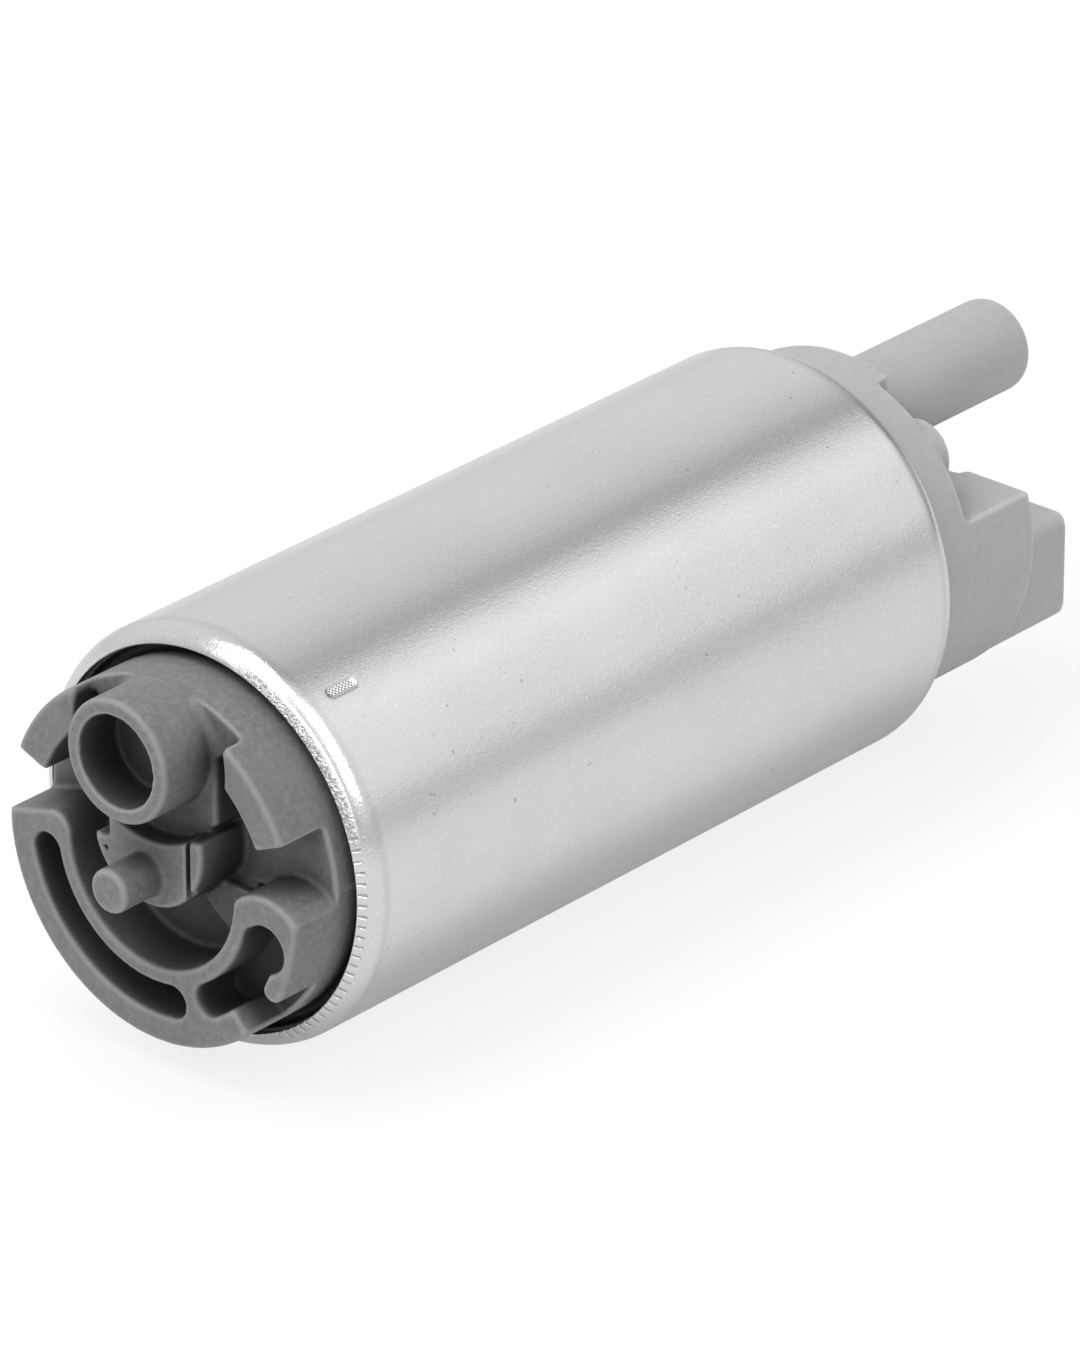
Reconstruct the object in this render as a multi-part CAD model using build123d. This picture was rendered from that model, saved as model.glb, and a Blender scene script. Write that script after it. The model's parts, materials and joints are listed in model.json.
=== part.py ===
from build123d import *
import math
import os

# Fuel pump lying on its side. X is the pump's own axis, from the inlet to the outlet, and Z is up.
# The origin is on the axis at the middle of the steel shell. Lengths are millimetres, angles are
# degrees round the pump axis from +Y towards +Z.

full_turn = 360

# Steel shell, with both ends rolled in over the covers
shell_radius = 19.0
shell_length = 77.5
shell_wall = 1.0
shoulder_round = 2.4
lip_width = 1.6
stake_angle = 124.5
stake_from_lip = 4.1
stake_length = 3.4
stake_radius = 0.45
stake_depth = 0.3

# Fits
seat_clearance = 0.05
running_clearance = 0.05
free_clearance = 0.3
rest_gap = 0.1

# Inlet cover
inlet_flange = 4.0
cover_gap = 1.1
cover_rise = 6.25
edge_round = 0.4
cavity_rise = 0.75
notch_step = 0.3
notch_bottom = -0.4
bead_width = 0.45
bead_rise = 0.35
trench_width = 0.9
trench_depth = 1.5
ring_end_foot = 0.05
ring_end_slope = 15.6
ring_end_round = 1.7
arm_width = 3.25
arm_left_end = 22.0
arm_right_end = 155.8
low_wall_rise = 4.0
slot_outer_wall = 2.55
slot_width = 2.95
slot_inner_wall = 1.5
slot_depth = 5.0
crescent_start = -100.3
crescent_end = -11.5
channel_start = 195.6
channel_end = 238.6
keyhole_radius = 2.15
keyhole_outer_wall = 0.925
keyhole_wall = 2.7
keyhole_end_round = 1.2
hook_relief = 0.65
hook_tip_flat = 0.2
gap_start = 211.5
gap_end = 228.5
gap_depth = 4.75
rib_angle = 218.0
rib_reach = 5.0
rib_low_side = 1.05
rib_high_side = 2.05
rib_flare = 33.5
rib_rise = 2.5
boss_radius = 6.15
boss_rise = 6.65
boss_wing_width = 1.75
boss_rim = 0.8
boss_groove = 0.45
boss_pocket_depth = 0.9
boss_wing_drop = 1.2
boss_shoulder_drop = 0.725
pin_drop = 3.1
pin_radius = 2.0
pin_length = 4.75

# Inlet tube
inlet_radius = 5.6
inlet_overhang = 0.45
inlet_bore_radius = 4.2
inlet_rise = 10.15
inlet_bore_depth = 4.65
inlet_surround = 2.9
arm_corner_margin = 0.55
pedestal_rise = 4.4
pedestal_margin = 0.3
port_half_angle = 12.0
port_ledge = 0.3

# Pump chamber
casing_wall = 3.15
impeller_thickness = 4.0
impeller_axial_gap = 0.15
impeller_web = 1.0
vane_count = 37
vane_length = 2.5
vane_pocket_width = 1.5
channel_depth = 1.6
outlet_port_start = 40.0
stripper_angle = 20.0
body_floor = 4.5
body_hub_radius = 6.0
body_hub_length = 2.7
body_skirt_wall = 2.05

# Rotor
shaft_radius = 2.0
shaft_flat = 0.5
shaft_entry = 1.7
shaft_tail = 0.8
bearing_length = 5.5
bearing_wall = 1.95
upper_bearing_wall = 1.55
thrust_button_radius = 2.45
thrust_button_thickness = 1.2
washer_thickness = 0.6
washer_radius = 4.2
rotor_front_gap = 2.0
tooth_count = 8
winding_depth = 4.8
tooth_tip = 1.6
tooth_angle = 13.0
slot_mouth = 1.8
slot_liner = 0.2
slot_side_margin = 1.5
bundle_round = 1.2
insulator_thickness = 0.8
winding_overhang = 3.2
winding_setback = 0.4
commutator_hub_length = 4.7
commutator_thickness = 1.5
commutator_margin = 0.55
commutator_border = 0.4
segment_gap = 0.6

# Magnets and the clips that spread them
magnet_thickness = 4.5
magnet_overhang = 4.5
magnet_air_gap = 0.55
magnet_angle = 130.0
clip_thickness = 0.6
clip_tip_setback = 0.4

# Brush holder, brushes and their springs
holder_front_gap = 1.5
holder_plate = 3.5
holder_hub_wall = 0.9
holder_step = 0.6
holder_ring_wall = 2.4
holder_window_start = 40.0
holder_window_end = 140.0
holder_window_inner = 8.0
holder_window_outer = 14.0
guide_wall = 1.0
guide_clearance = 0.15
brush_radial = 4.4
brush_across = 5.6
brush_length = 8.0
brush_spring_length = 10.3
brush_spring_radius = 1.7
brush_spring_wire = 0.4
brush_spring_turns = 7
lead_radius = 0.45
lead_bend = 1.4
lead_rise = 1.2
lead_groove_clearance = 0.4

# End cover
end_flange = 6.0
collar_gap = 0.9
collar_length = 4.85
roof_thickness = 3.85
chamber_wall = 2.5
plateau_rise = 1.65
plateau_side = -5.1
collar_round = 0.3
outlet_radius = 4.4
outlet_inset = 1.9
outlet_bore_radius = 3.0
outlet_length = 28.0
outlet_tip_round = 1.1
seal_wire_radius = 0.93
seal_from_face = 2.4

# Connector on the end cover
block_top = 5.2
block_length = 12.5
block_side = -5.0
block_lip_side = -8.5
block_lip_rise = 1.0
base_margin = 0.55
shroud_inset = 3.5
shroud_width = 12.0
shroud_height = 10.25
shroud_wall = 1.2
shroud_corner = 1.2
shroud_length = 22.5
socket_depth = 12.0
terminal_gap = 0.725
terminal_pitch = 5.0
terminal_width = 2.8
terminal_thickness = 0.8
terminal_setback = 3.0
terminal_point = 0.3
foot_thickness = 0.7

# Interference chokes
choke_radius = 1.9
choke_core_radius = 1.2
choke_length = 6.4
choke_wall_gap = 0.19
choke_side = 2.7

# Check valve in the outlet
valve_chamber_radius = 3.5
valve_chamber_length = 7.5
valve_seat_thickness = 2.0
valve_seat_bore = 2.1
valve_head_radius = 2.8
valve_head_thickness = 1.5
valve_seal_thickness = 0.6
valve_spigot_radius = 1.6
valve_stem_radius = 0.9
valve_stem_length = 10.5
valve_spring_radius = 1.8
valve_spring_wire = 0.35
valve_spring_turns = 4
valve_guide_from_seat = 10.5
valve_guide_thickness = 1.5
valve_guide_bore = 1.2
valve_guide_wall = 0.6
valve_guide_rib = 0.9
valve_guide_ribs = 3

# Relief valve in the round boss
relief_angle = 134.0
relief_tower_radius = 3.3
relief_rise = 1.55
relief_tower_length = 6.5
relief_bore_radius = 2.1
relief_seat_radius = 1.2
relief_seat_thickness = 2.0
relief_ball_radius = 1.7
relief_spring_radius = 1.45
relief_spring_wire = 0.3
relief_spring_turns = 4
relief_plug_thickness = 1.6
relief_plug_bore = 0.8
relief_plug_setback = 0.3

# Radii that follow from the shell, from the outside inwards
lip_radius = shell_radius - lip_width
inner_radius = shell_radius - shell_wall
seat_radius = inner_radius - seat_clearance
inner_round = shoulder_round - shell_wall
cover_radius = lip_radius - cover_gap
cavity_radius = cover_radius - slot_outer_wall - slot_width - slot_inner_wall
arm_inner_radius = cover_radius - arm_width
trench_radius = cover_radius + trench_width
slot_outer_edge = cover_radius - slot_outer_wall
slot_mid_radius = slot_outer_edge - slot_width / 2
keyhole_reach = cover_radius - keyhole_outer_wall - keyhole_radius
hook_round = (slot_outer_wall - hook_relief - hook_tip_flat) / 2
counterbore_radius = inlet_radius + inlet_surround
collar_radius = lip_radius - collar_gap
chamber_radius = collar_radius - chamber_wall
pocket_radius = seat_radius - casing_wall
impeller_radius = pocket_radius - free_clearance
channel_inner = impeller_radius - vane_length
magnet_inner_radius = seat_radius - magnet_thickness
rotor_radius = magnet_inner_radius - magnet_air_gap
slot_outer_radius = rotor_radius - tooth_tip
slot_inner_radius = slot_outer_radius - winding_depth

# Sizes that follow from the shaft outwards
bearing_radius = shaft_radius + running_clearance + bearing_wall
upper_bearing_radius = shaft_radius + running_clearance + upper_bearing_wall
guide_radial = brush_radial + 2 * guide_clearance
guide_across = brush_across + 2 * guide_clearance
brush_y = upper_bearing_radius + holder_hub_wall + guide_wall / 2 + guide_radial / 2
commutator_radius = brush_y + brush_radial / 2 + commutator_margin
commutator_inner_radius = brush_y - brush_radial / 2 - commutator_margin
tooth_pitch = full_turn / tooth_count

# Centres of the tubes, the connector and the relief boss
inlet_z = cover_radius + inlet_overhang - inlet_radius
boss_z = inlet_z - counterbore_radius
boss_flat = boss_radius - boss_wing_width
left_wing_top = boss_z - boss_wing_drop
right_wing_top = boss_z + boss_radius ** 2 / (2 * counterbore_radius) - boss_shoulder_drop
pin_z = boss_z - pin_drop
arm_corner = counterbore_radius + arm_corner_margin
arm_corner_rise = cover_radius ** 2 + inlet_z ** 2 - arm_corner ** 2
arm_top = math.degrees(math.asin(arm_corner_rise / (2 * cover_radius * inlet_z)))
outlet_z = collar_radius - outlet_inset - outlet_radius
shroud_y = shroud_inset - collar_radius + shroud_width / 2
shroud_z = -guide_across / 2 - guide_wall - terminal_gap - terminal_width / 2
base_side = shroud_y + shroud_width / 2 + base_margin
base_top = shroud_z + shroud_height / 2 + base_margin
choke_reach = chamber_radius - choke_radius - choke_wall_gap
outer_choke_y = shroud_y - terminal_pitch / 2 + choke_side
choke_z = -math.sqrt(choke_reach ** 2 - outer_choke_y ** 2)
relief_reach = collar_radius - relief_tower_radius
relief_y = relief_reach * math.cos(math.radians(relief_angle))
relief_z = relief_reach * math.sin(math.radians(relief_angle))

# Planes across the pump, in order from the inlet
near_lip = -shell_length / 2
cover_back = near_lip + shell_wall
pump_face = cover_back + inlet_flange
shaft_start = pump_face - shaft_entry
impeller_start = pump_face + impeller_axial_gap
impeller_end = impeller_start + impeller_thickness
pocket_floor = impeller_end + impeller_axial_gap
body_end = pocket_floor + body_floor
bearing_end = body_end + body_hub_length
washer_end = bearing_end + rest_gap + washer_thickness
core_start = bearing_end + rotor_front_gap + winding_overhang + insulator_thickness
front_plate = core_start - insulator_thickness
magnet_start = core_start - magnet_overhang

# Planes across the pump, in order from the outlet; the motor fills what lies between
far_lip = shell_length / 2
outlet_end = far_lip + outlet_length
shroud_end = far_lip + shroud_length
socket_floor = shroud_end - socket_depth
block_end = far_lip + block_length
end_face = far_lip + collar_length
plateau_face = end_face + plateau_rise
relief_end = end_face + relief_rise
chamber_roof = end_face - roof_thickness
cover_flange_end = far_lip - shell_wall
cover_flange_start = cover_flange_end - end_flange
brush_end = chamber_roof - brush_spring_length
brush_start = brush_end - brush_length
commutator_face = brush_start - rest_gap
segment_start = commutator_face - commutator_thickness
commutator_start = segment_start - commutator_hub_length
back_plate_end = commutator_start - winding_setback - winding_overhang
core_end = back_plate_end - insulator_thickness
magnet_end = core_end + magnet_overhang
holder_start = commutator_face + holder_front_gap
holder_end = holder_start + holder_plate
upper_bearing_start = holder_start + holder_step
upper_bearing_end = upper_bearing_start + bearing_length
shaft_end = upper_bearing_end + shaft_tail
choke_end = chamber_roof - foot_thickness
choke_start = choke_end - choke_length

# Planes in the two valves
relief_tower_start = chamber_roof - relief_tower_length
relief_seat_end = relief_tower_start + relief_seat_thickness
relief_ball_x = relief_seat_end + math.sqrt(relief_ball_radius ** 2 - relief_seat_radius ** 2) + rest_gap
relief_plug_end = relief_end - relief_plug_setback
relief_plug_start = relief_plug_end - relief_plug_thickness
valve_seat_end = chamber_roof + valve_seat_thickness
valve_seal_start = valve_seat_end + rest_gap
valve_head_start = valve_seal_start + valve_seal_thickness
valve_head_end = valve_head_start + valve_head_thickness
valve_guide_start = valve_seat_end + valve_guide_from_seat


def station(x):
    """The plane across the pump at X = x, with Y to its right and Z up."""
    return Plane(origin=(x, 0, 0), x_dir=(0, 1, 0), z_dir=(1, 0, 0))


def prism(section, start, end):
    """A section across the pump carried along X from start to end."""
    return extrude(station(start) * section, amount=end - start, dir=(1, 0, 0))


def rod(radius, start, end, y=0.0, z=0.0):
    """A round bar along X, centred at (y, z)."""
    return prism(Pos(y, z) * Circle(radius), start, end)


def tube(outer, inner, start, end, y=0.0, z=0.0):
    """A round tube along X, centred at (y, z)."""
    return prism(Pos(y, z) * (Circle(outer) - Circle(inner)), start, end)


def polar(radius, angle):
    """The point at a radius and an angle round the pump axis."""
    turn = math.radians(angle)
    return (radius * math.cos(turn), radius * math.sin(turn))


def ring_sector(inner, outer, start, end):
    """A piece of a flat ring between two radii and two angles."""
    turn = end - start
    outline = [
        CenterArc((0, 0), outer, start, turn),
        CenterArc((0, 0), inner, start, turn),
        Line(polar(inner, start), polar(outer, start)),
        Line(polar(inner, end), polar(outer, end)),
    ]
    return make_face(outline)


def arc_slot(mid_radius, width, start, end):
    """A slot along an arc, with round ends centred on the two angles."""
    slot = ring_sector(mid_radius - width / 2, mid_radius + width / 2, start, end)
    slot += Pos(*polar(mid_radius, start)) * Circle(width / 2)
    slot += Pos(*polar(mid_radius, end)) * Circle(width / 2)
    return slot


def block(low_y, high_y, low_z, high_z):
    """A rectangle across the pump, given by its four sides."""
    return Pos((low_y + high_y) / 2, (low_z + high_z) / 2) * Rectangle(high_y - low_y, high_z - low_z)


def soften(solid, side, radius):
    """Round every edge of the end face that looks to -X (side 0) or to +X (side -1)."""
    return fillet(solid.edges().group_by(Axis.X)[side], radius)


def helix_point(radius, pitch, turn, start, y, z):
    """The point that a helix along X reaches after a number of turns."""
    angle = 2 * math.pi * turn
    return Vector(start + pitch * turn, y + radius * math.cos(angle), z + radius * math.sin(angle))


def helix_heading(radius, pitch, turn):
    """The direction of the helix at that point."""
    angle = 2 * math.pi * turn
    rise = pitch / (2 * math.pi)
    return Vector(rise, -radius * math.sin(angle), radius * math.cos(angle)).normalized()


def helix_path(radius, pitch, turns, start, y, z):
    """A helix as pairs of arcs, two to each quarter turn, that meet without a kink."""
    arcs = []
    steps = round(4 * turns)
    for step in range(steps):
        here = helix_point(radius, pitch, step / 4, start, y, z)
        there = helix_point(radius, pitch, (step + 1) / 4, start, y, z)
        leaving = helix_heading(radius, pitch, step / 4)
        arriving = helix_heading(radius, pitch, (step + 1) / 4)
        chord = there - here
        bend = 2 * (1 - leaving.dot(arriving))
        pull = chord.dot(leaving + arriving)
        reach = (math.sqrt(pull * pull + bend * chord.dot(chord)) - pull) / bend
        first_corner = here + leaving * reach
        second_corner = there - arriving * reach
        middle = (first_corner + second_corner) * 0.5
        along = second_corner - first_corner
        arcs.append(Edge.make_tangent_arc(here, leaving, middle))
        arcs.append(Edge.make_tangent_arc(middle, along, there))
    return Wire(arcs)


def least_gap(radius, wire, pitch, turns):
    """The least gap between one turn of a helix and the next, measured on points along it."""
    points = [helix_point(radius, pitch, step / 36, 0, 0, 0) for step in range(round(36 * turns) + 1)]
    gaps = [(points[far] - points[near]).length
            for near in range(0, len(points), 6)
            for far in range(near + 18, len(points))]
    return min(gaps) - wire


def coil(name, radius, wire, turns, start, end, y, z):
    """A spring of round wire between two planes across the pump, as one unbroken tube."""
    pitch = (end - start - wire) / turns
    path = helix_path(radius, pitch, turns, start + wire / 2, y, z)
    section = Plane(origin=path @ 0, z_dir=path % 0) * Circle(wire / 2)
    print(name, "least gap between turns", round(least_gap(radius, wire, pitch, turns), 2))
    return sweep(section, path=path)


def make_shell():
    """The drawn tube: one wall profile with a rolled lip at each end, turned about the axis."""
    outside = RectangleRounded(shell_length, 2 * shell_radius, shoulder_round)
    inside = RectangleRounded(shell_length - 2 * shell_wall, 2 * inner_radius, inner_round)
    band = Pos(0, (lip_radius + shell_radius) / 2) * Rectangle(shell_length, shell_radius - lip_radius)
    shell = revolve((outside - inside) & band, Axis.X)
    stake_y, stake_z = polar(shell_radius + stake_radius - stake_depth, stake_angle)
    stake_start = near_lip + stake_from_lip
    stake = rod(stake_radius, stake_start, stake_start + stake_length, stake_y, stake_z)
    stake += Pos(stake_start, stake_y, stake_z) * Sphere(stake_radius)
    stake += Pos(stake_start + stake_length, stake_y, stake_z) * Sphere(stake_radius)
    return shell - stake


def channel_section(start, end):
    """The annular flow channel beside the impeller's vanes."""
    return ring_sector(channel_inner, pocket_radius, start, end)


def turn_of(point):
    """The angle of a point on a section round the pump axis, from 0 to a full turn."""
    return math.degrees(math.atan2(point.Y, point.X)) % full_turn


def inner_corners(section, height):
    """The corners of a ring's section on its inner edge that lie above a height."""
    return [v for v in section.vertices() if v.Y > height and math.hypot(v.X, v.Y) < slot_mid_radius]


def ring_outline():
    """The raised ring's outline: a half ring whose left end slopes and whose right end is round."""
    annulus = Circle(cover_radius) - Circle(cavity_radius)
    slope_top = ring_end_foot + cover_radius * math.tan(math.radians(ring_end_slope))
    left_points = [
        (0, -cover_radius),
        (cover_radius, -cover_radius),
        (cover_radius, ring_end_foot),
        (0, slope_top),
    ]
    left_half = annulus & make_face(Polyline(left_points, close=True))
    left_half = fillet(inner_corners(left_half, 0), ring_end_round)
    keyhole_y, keyhole_z = polar(keyhole_reach, channel_start)
    right_half = annulus & block(-cover_radius, 0, -cover_radius, keyhole_z)
    right_half += annulus & (Pos(keyhole_y, keyhole_z) * Circle(keyhole_radius + keyhole_wall))
    right_half = fillet(inner_corners(right_half, keyhole_z), keyhole_end_round)
    return left_half + right_half


def cover_ring():
    """The raised ring round the lower half of the inlet cover, with its arc slots and keyhole."""
    front = near_lip - cover_rise
    gap_floor = front + gap_depth
    slot_floor = front + slot_depth
    outline = ring_outline()
    slots = arc_slot(slot_mid_radius, slot_width, crescent_start, crescent_end)
    slots += arc_slot(slot_mid_radius, slot_width, channel_start, channel_end)
    slots += Pos(*polar(keyhole_reach, channel_start)) * Circle(keyhole_radius)
    slotted = outline - slots
    gap = ring_sector(slot_mid_radius, cover_radius + edge_round, gap_start, gap_end)
    gap += ring_sector(slot_mid_radius, slot_outer_edge + hook_relief, channel_start, gap_end)
    hooked = slotted - gap
    hook_corners = [v for v in hooked.vertices() if abs(turn_of(v) - gap_start) < 1]
    hooked = fillet(hook_corners, hook_round)
    ring = prism(hooked, front, gap_floor)
    ring += prism(slotted, gap_floor, slot_floor)
    ring += prism(outline, slot_floor, near_lip)
    return soften(ring, 0, edge_round)


def cover_arms():
    """The two narrow arms down both sides of the inlet tube, and the low wall that joins them."""
    section = ring_sector(arm_inner_radius, cover_radius, arm_left_end, arm_top)
    section += ring_sector(arm_inner_radius, cover_radius, full_turn / 2 - arm_top, arm_right_end)
    section -= Pos(0, inlet_z) * Circle(counterbore_radius)
    arms = soften(prism(section, near_lip - cover_rise, near_lip), 0, edge_round)
    low_wall = ring_sector(arm_inner_radius, cover_radius, arm_top, full_turn / 2 - arm_top)
    return arms + prism(low_wall, near_lip - low_wall_rise, near_lip)


def cover_boss():
    """The round boss under the inlet tube, with a flat middle, two lower wings and a pin."""
    low = boss_z - boss_radius
    high = boss_z + boss_radius
    outline = Pos(0, boss_z) * Circle(boss_radius) - Pos(0, inlet_z) * Circle(counterbore_radius)
    outline -= block(boss_flat, boss_radius, left_wing_top, high)
    outline -= block(-boss_radius, -boss_flat, right_wing_top, high)
    front = near_lip - boss_rise
    boss = soften(prism(outline, front, near_lip), 0, edge_round)
    pocket = Pos(0, boss_z) * Circle(boss_radius - boss_rim)
    pocket = pocket & block(boss_flat, boss_radius, low, left_wing_top - boss_rim)
    pocket += block(-boss_flat - boss_groove, -boss_flat, low, high)
    boss -= prism(pocket, front, front + boss_pocket_depth)
    pin = soften(rod(pin_radius, front - pin_length, front, 0, pin_z), 0, edge_round)
    return boss + pin


def cover_pedestal():
    """The step that the inlet tube stands on: a disc round the tube and a block below it."""
    side = inlet_radius + pedestal_margin
    step = Pos(0, inlet_z) * Circle(side)
    step += block(-side, side, 0, inlet_z) & (Pos(0, inlet_z) * Circle(counterbore_radius))
    step = step & Circle(cover_radius)
    return soften(prism(step, near_lip - pedestal_rise, near_lip), 0, edge_round)


def cover_rib():
    """The short flared rib from the raised ring towards the boss."""
    root = cavity_radius
    tip = cavity_radius - rib_reach
    flare = rib_reach * math.tan(math.radians(rib_flare))
    points = [
        (tip, rib_low_side),
        (tip, -rib_high_side),
        (root, -rib_high_side - flare),
        (root, rib_low_side),
    ]
    rib = Rot(0, 0, rib_angle) * make_face(Polyline(points, close=True))
    return prism(rib, near_lip - rib_rise, near_lip)


def make_inlet_cover():
    """The inlet cover: a flange under the near lip, a raised face outside it, and the pump face inside."""
    flange = soften(rod(seat_radius, cover_back, pump_face), 0, inner_round)
    flange -= tube(trench_radius, cover_radius, cover_back, cover_back + trench_depth)
    floor_front = near_lip - cavity_rise
    notch_front = floor_front - notch_step
    cover = flange + rod(cover_radius, floor_front, cover_back)
    notches = block(-cover_radius, -inlet_radius, notch_bottom, cover_radius)
    notches += block(inlet_radius, cover_radius, notch_bottom, cover_radius)
    bead_side = inlet_radius - bead_width
    bead_bottom = notch_bottom - bead_width
    beads = block(-cover_radius, -bead_side, bead_bottom, cover_radius)
    beads += block(bead_side, cover_radius, bead_bottom, cover_radius)
    beads = (beads - notches) & Circle(cover_radius)
    cover += prism(notches & Circle(cover_radius), notch_front, near_lip)
    cover += prism(beads, notch_front - bead_rise, near_lip)
    cover += cover_ring()
    cover += cover_arms()
    cover += cover_boss()
    cover += cover_pedestal()
    cover += cover_rib()
    mouth = near_lip - inlet_rise
    cover += soften(rod(inlet_radius, mouth, near_lip - pedestal_rise, 0, inlet_z), 0, edge_round)
    cover -= rod(inlet_bore_radius, mouth, mouth + inlet_bore_depth, 0, inlet_z)
    port = ring_sector(channel_inner, pocket_radius, 90 - port_half_angle, 90 + port_half_angle)
    port = port & (Pos(0, inlet_z) * Circle(inlet_bore_radius - port_ledge))
    cover -= prism(port, mouth + inlet_bore_depth, pump_face)
    channel = channel_section(90 - port_half_angle, outlet_port_start + full_turn)
    cover -= prism(channel, pump_face - channel_depth, pump_face)
    button_seat = thrust_button_radius + seat_clearance
    cover -= rod(button_seat, shaft_start - rest_gap - thrust_button_thickness, pump_face)
    return cover


def make_thrust_button():
    """The hard disc in the inlet cover that the shaft's end runs against."""
    button_end = shaft_start - rest_gap
    return rod(thrust_button_radius, button_end - thrust_button_thickness, button_end)


def make_pump_body():
    """The casing behind the impeller: pocket, flow channel, outlet port, bearing hub and skirt."""
    body = rod(seat_radius, pump_face, body_end)
    body += rod(body_hub_radius, body_end, bearing_end)
    body += tube(seat_radius, seat_radius - body_skirt_wall, body_end, magnet_start)
    body -= rod(pocket_radius, pump_face, pocket_floor)
    channel = channel_section(90 - port_half_angle, outlet_port_start + full_turn)
    body -= prism(channel, pocket_floor, pocket_floor + channel_depth)
    outlet_port_end = outlet_port_start + stripper_angle
    body -= prism(channel_section(outlet_port_start, outlet_port_end), pocket_floor, body_end)
    body -= rod(shaft_radius + free_clearance, pocket_floor, bearing_end)
    body -= rod(bearing_radius + seat_clearance, bearing_end - bearing_length, bearing_end)
    return body


def make_impeller():
    """A flat wheel with a row of vane pockets sunk into both faces of its rim."""
    wheel = rod(impeller_radius, impeller_start, impeller_end)
    wheel -= prism(shaft_section(shaft_radius + seat_clearance), impeller_start, impeller_end)
    pocket_depth = (impeller_thickness - impeller_web) / 2
    past_rim = impeller_radius + free_clearance
    pocket = block(channel_inner, past_rim, -vane_pocket_width / 2, vane_pocket_width / 2)
    pockets = Sketch() + [Rot(0, 0, full_turn * vane / vane_count) * pocket for vane in range(vane_count)]
    wheel -= prism(pockets, impeller_start, impeller_start + pocket_depth)
    wheel -= prism(pockets, impeller_end - pocket_depth, impeller_end)
    return wheel


def shaft_section(radius):
    """The shaft's section at the impeller: round, with one flat that drives the wheel."""
    return Circle(radius) & block(-radius, radius, -radius, radius - shaft_flat)


def make_bearing(outer, start):
    """A plain sintered bush."""
    return tube(outer, shaft_radius + running_clearance, start, start + bearing_length)


def make_washer():
    """The washer between the lower bearing and the rotor."""
    start = bearing_end + rest_gap
    return tube(washer_radius, shaft_radius, start, start + washer_thickness)


def make_shaft():
    """The rotor shaft, with a flat where the impeller sits."""
    shaft = rod(shaft_radius, impeller_end + rest_gap, shaft_end)
    shaft += prism(shaft_section(shaft_radius), shaft_start, impeller_end + rest_gap)
    return shaft


def core_slots(inner, outer, margin, mouth):
    """The slots between the core's teeth, from the root to the tooth tips."""
    half = (tooth_pitch - tooth_angle) / 2 - margin
    slots = Sketch()
    for tooth in range(tooth_count):
        middle = (tooth + 0.5) * tooth_pitch
        slots += ring_sector(inner, outer, middle - half, middle + half)
        if mouth > 0:
            opening = block(outer - slot_liner, rotor_radius + slot_liner, -mouth / 2, mouth / 2)
            slots += Rot(0, 0, middle) * opening
    return slots


def make_core():
    """The stack of slotted laminations, as one block."""
    section = Circle(rotor_radius) - Circle(shaft_radius)
    section -= core_slots(slot_inner_radius, slot_outer_radius, 0, slot_mouth)
    return prism(section, core_start, core_end)


def make_insulator(plate_start, hub_start, hub_end):
    """An insulating star on one end of the core, with a hub that spaces the rotor along the shaft."""
    star = Circle(slot_outer_radius) - Circle(shaft_radius)
    star -= core_slots(slot_inner_radius, rotor_radius, 0, 0)
    plate = prism(star, plate_start, plate_start + insulator_thickness)
    return plate + tube(washer_radius, shaft_radius, hub_start, hub_end)


def make_winding():
    """The wire in the slots and its bundles over both ends of the core, as one mass."""
    outer = slot_outer_radius - slot_liner
    inner = slot_inner_radius + slot_liner
    bars = core_slots(inner, outer, slot_side_margin, 0)
    front = core_start - insulator_thickness
    back = core_end + insulator_thickness
    winding = prism(bars, front - slot_liner, back + slot_liner)
    for bundle_start in (front - winding_overhang, back + slot_liner):
        ring = tube(outer, inner, bundle_start, bundle_start + winding_overhang - slot_liner)
        winding += fillet(ring.edges().filter_by(GeomType.CIRCLE), bundle_round)
    return winding


def make_commutator_hub():
    """The moulded hub that carries the commutator's segments."""
    return tube(commutator_radius + commutator_border, shaft_radius, commutator_start, segment_start)


def make_segments():
    """The flat copper segments, one for each tooth of the core."""
    ring = Circle(commutator_radius) - Circle(commutator_inner_radius)
    for segment in range(tooth_count):
        middle = Pos(commutator_radius / 2, 0) * Rectangle(commutator_radius + 1, segment_gap)
        ring -= Rot(0, 0, segment * tooth_pitch) * middle
    return prism(ring, segment_start, commutator_face)


def make_magnet(middle):
    """One arc magnet, centred on an angle."""
    half = magnet_angle / 2
    section = ring_sector(magnet_inner_radius, seat_radius, middle - half, middle + half)
    return prism(section, magnet_start, magnet_end)


def make_clip(middle):
    """A bent spring clip that presses the two magnets apart."""
    outer_half = (full_turn / 2 - magnet_angle) / 2 - math.degrees(seat_clearance / magnet_inner_radius)
    inner_half = outer_half - math.degrees(clip_thickness / magnet_inner_radius)
    tip = magnet_inner_radius + clip_tip_setback
    section = ring_sector(tip, seat_radius, middle - outer_half, middle + outer_half)
    section -= ring_sector(tip - clip_thickness, seat_radius - clip_thickness,
                           middle - inner_half, middle + inner_half)
    return prism(section, magnet_start, magnet_end)


def brush_section(radial, across, side):
    """The brush's rectangle, on the +Y side (side 1) or the -Y side (side -1)."""
    return Pos(side * brush_y, 0) * Rectangle(radial, across)


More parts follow.
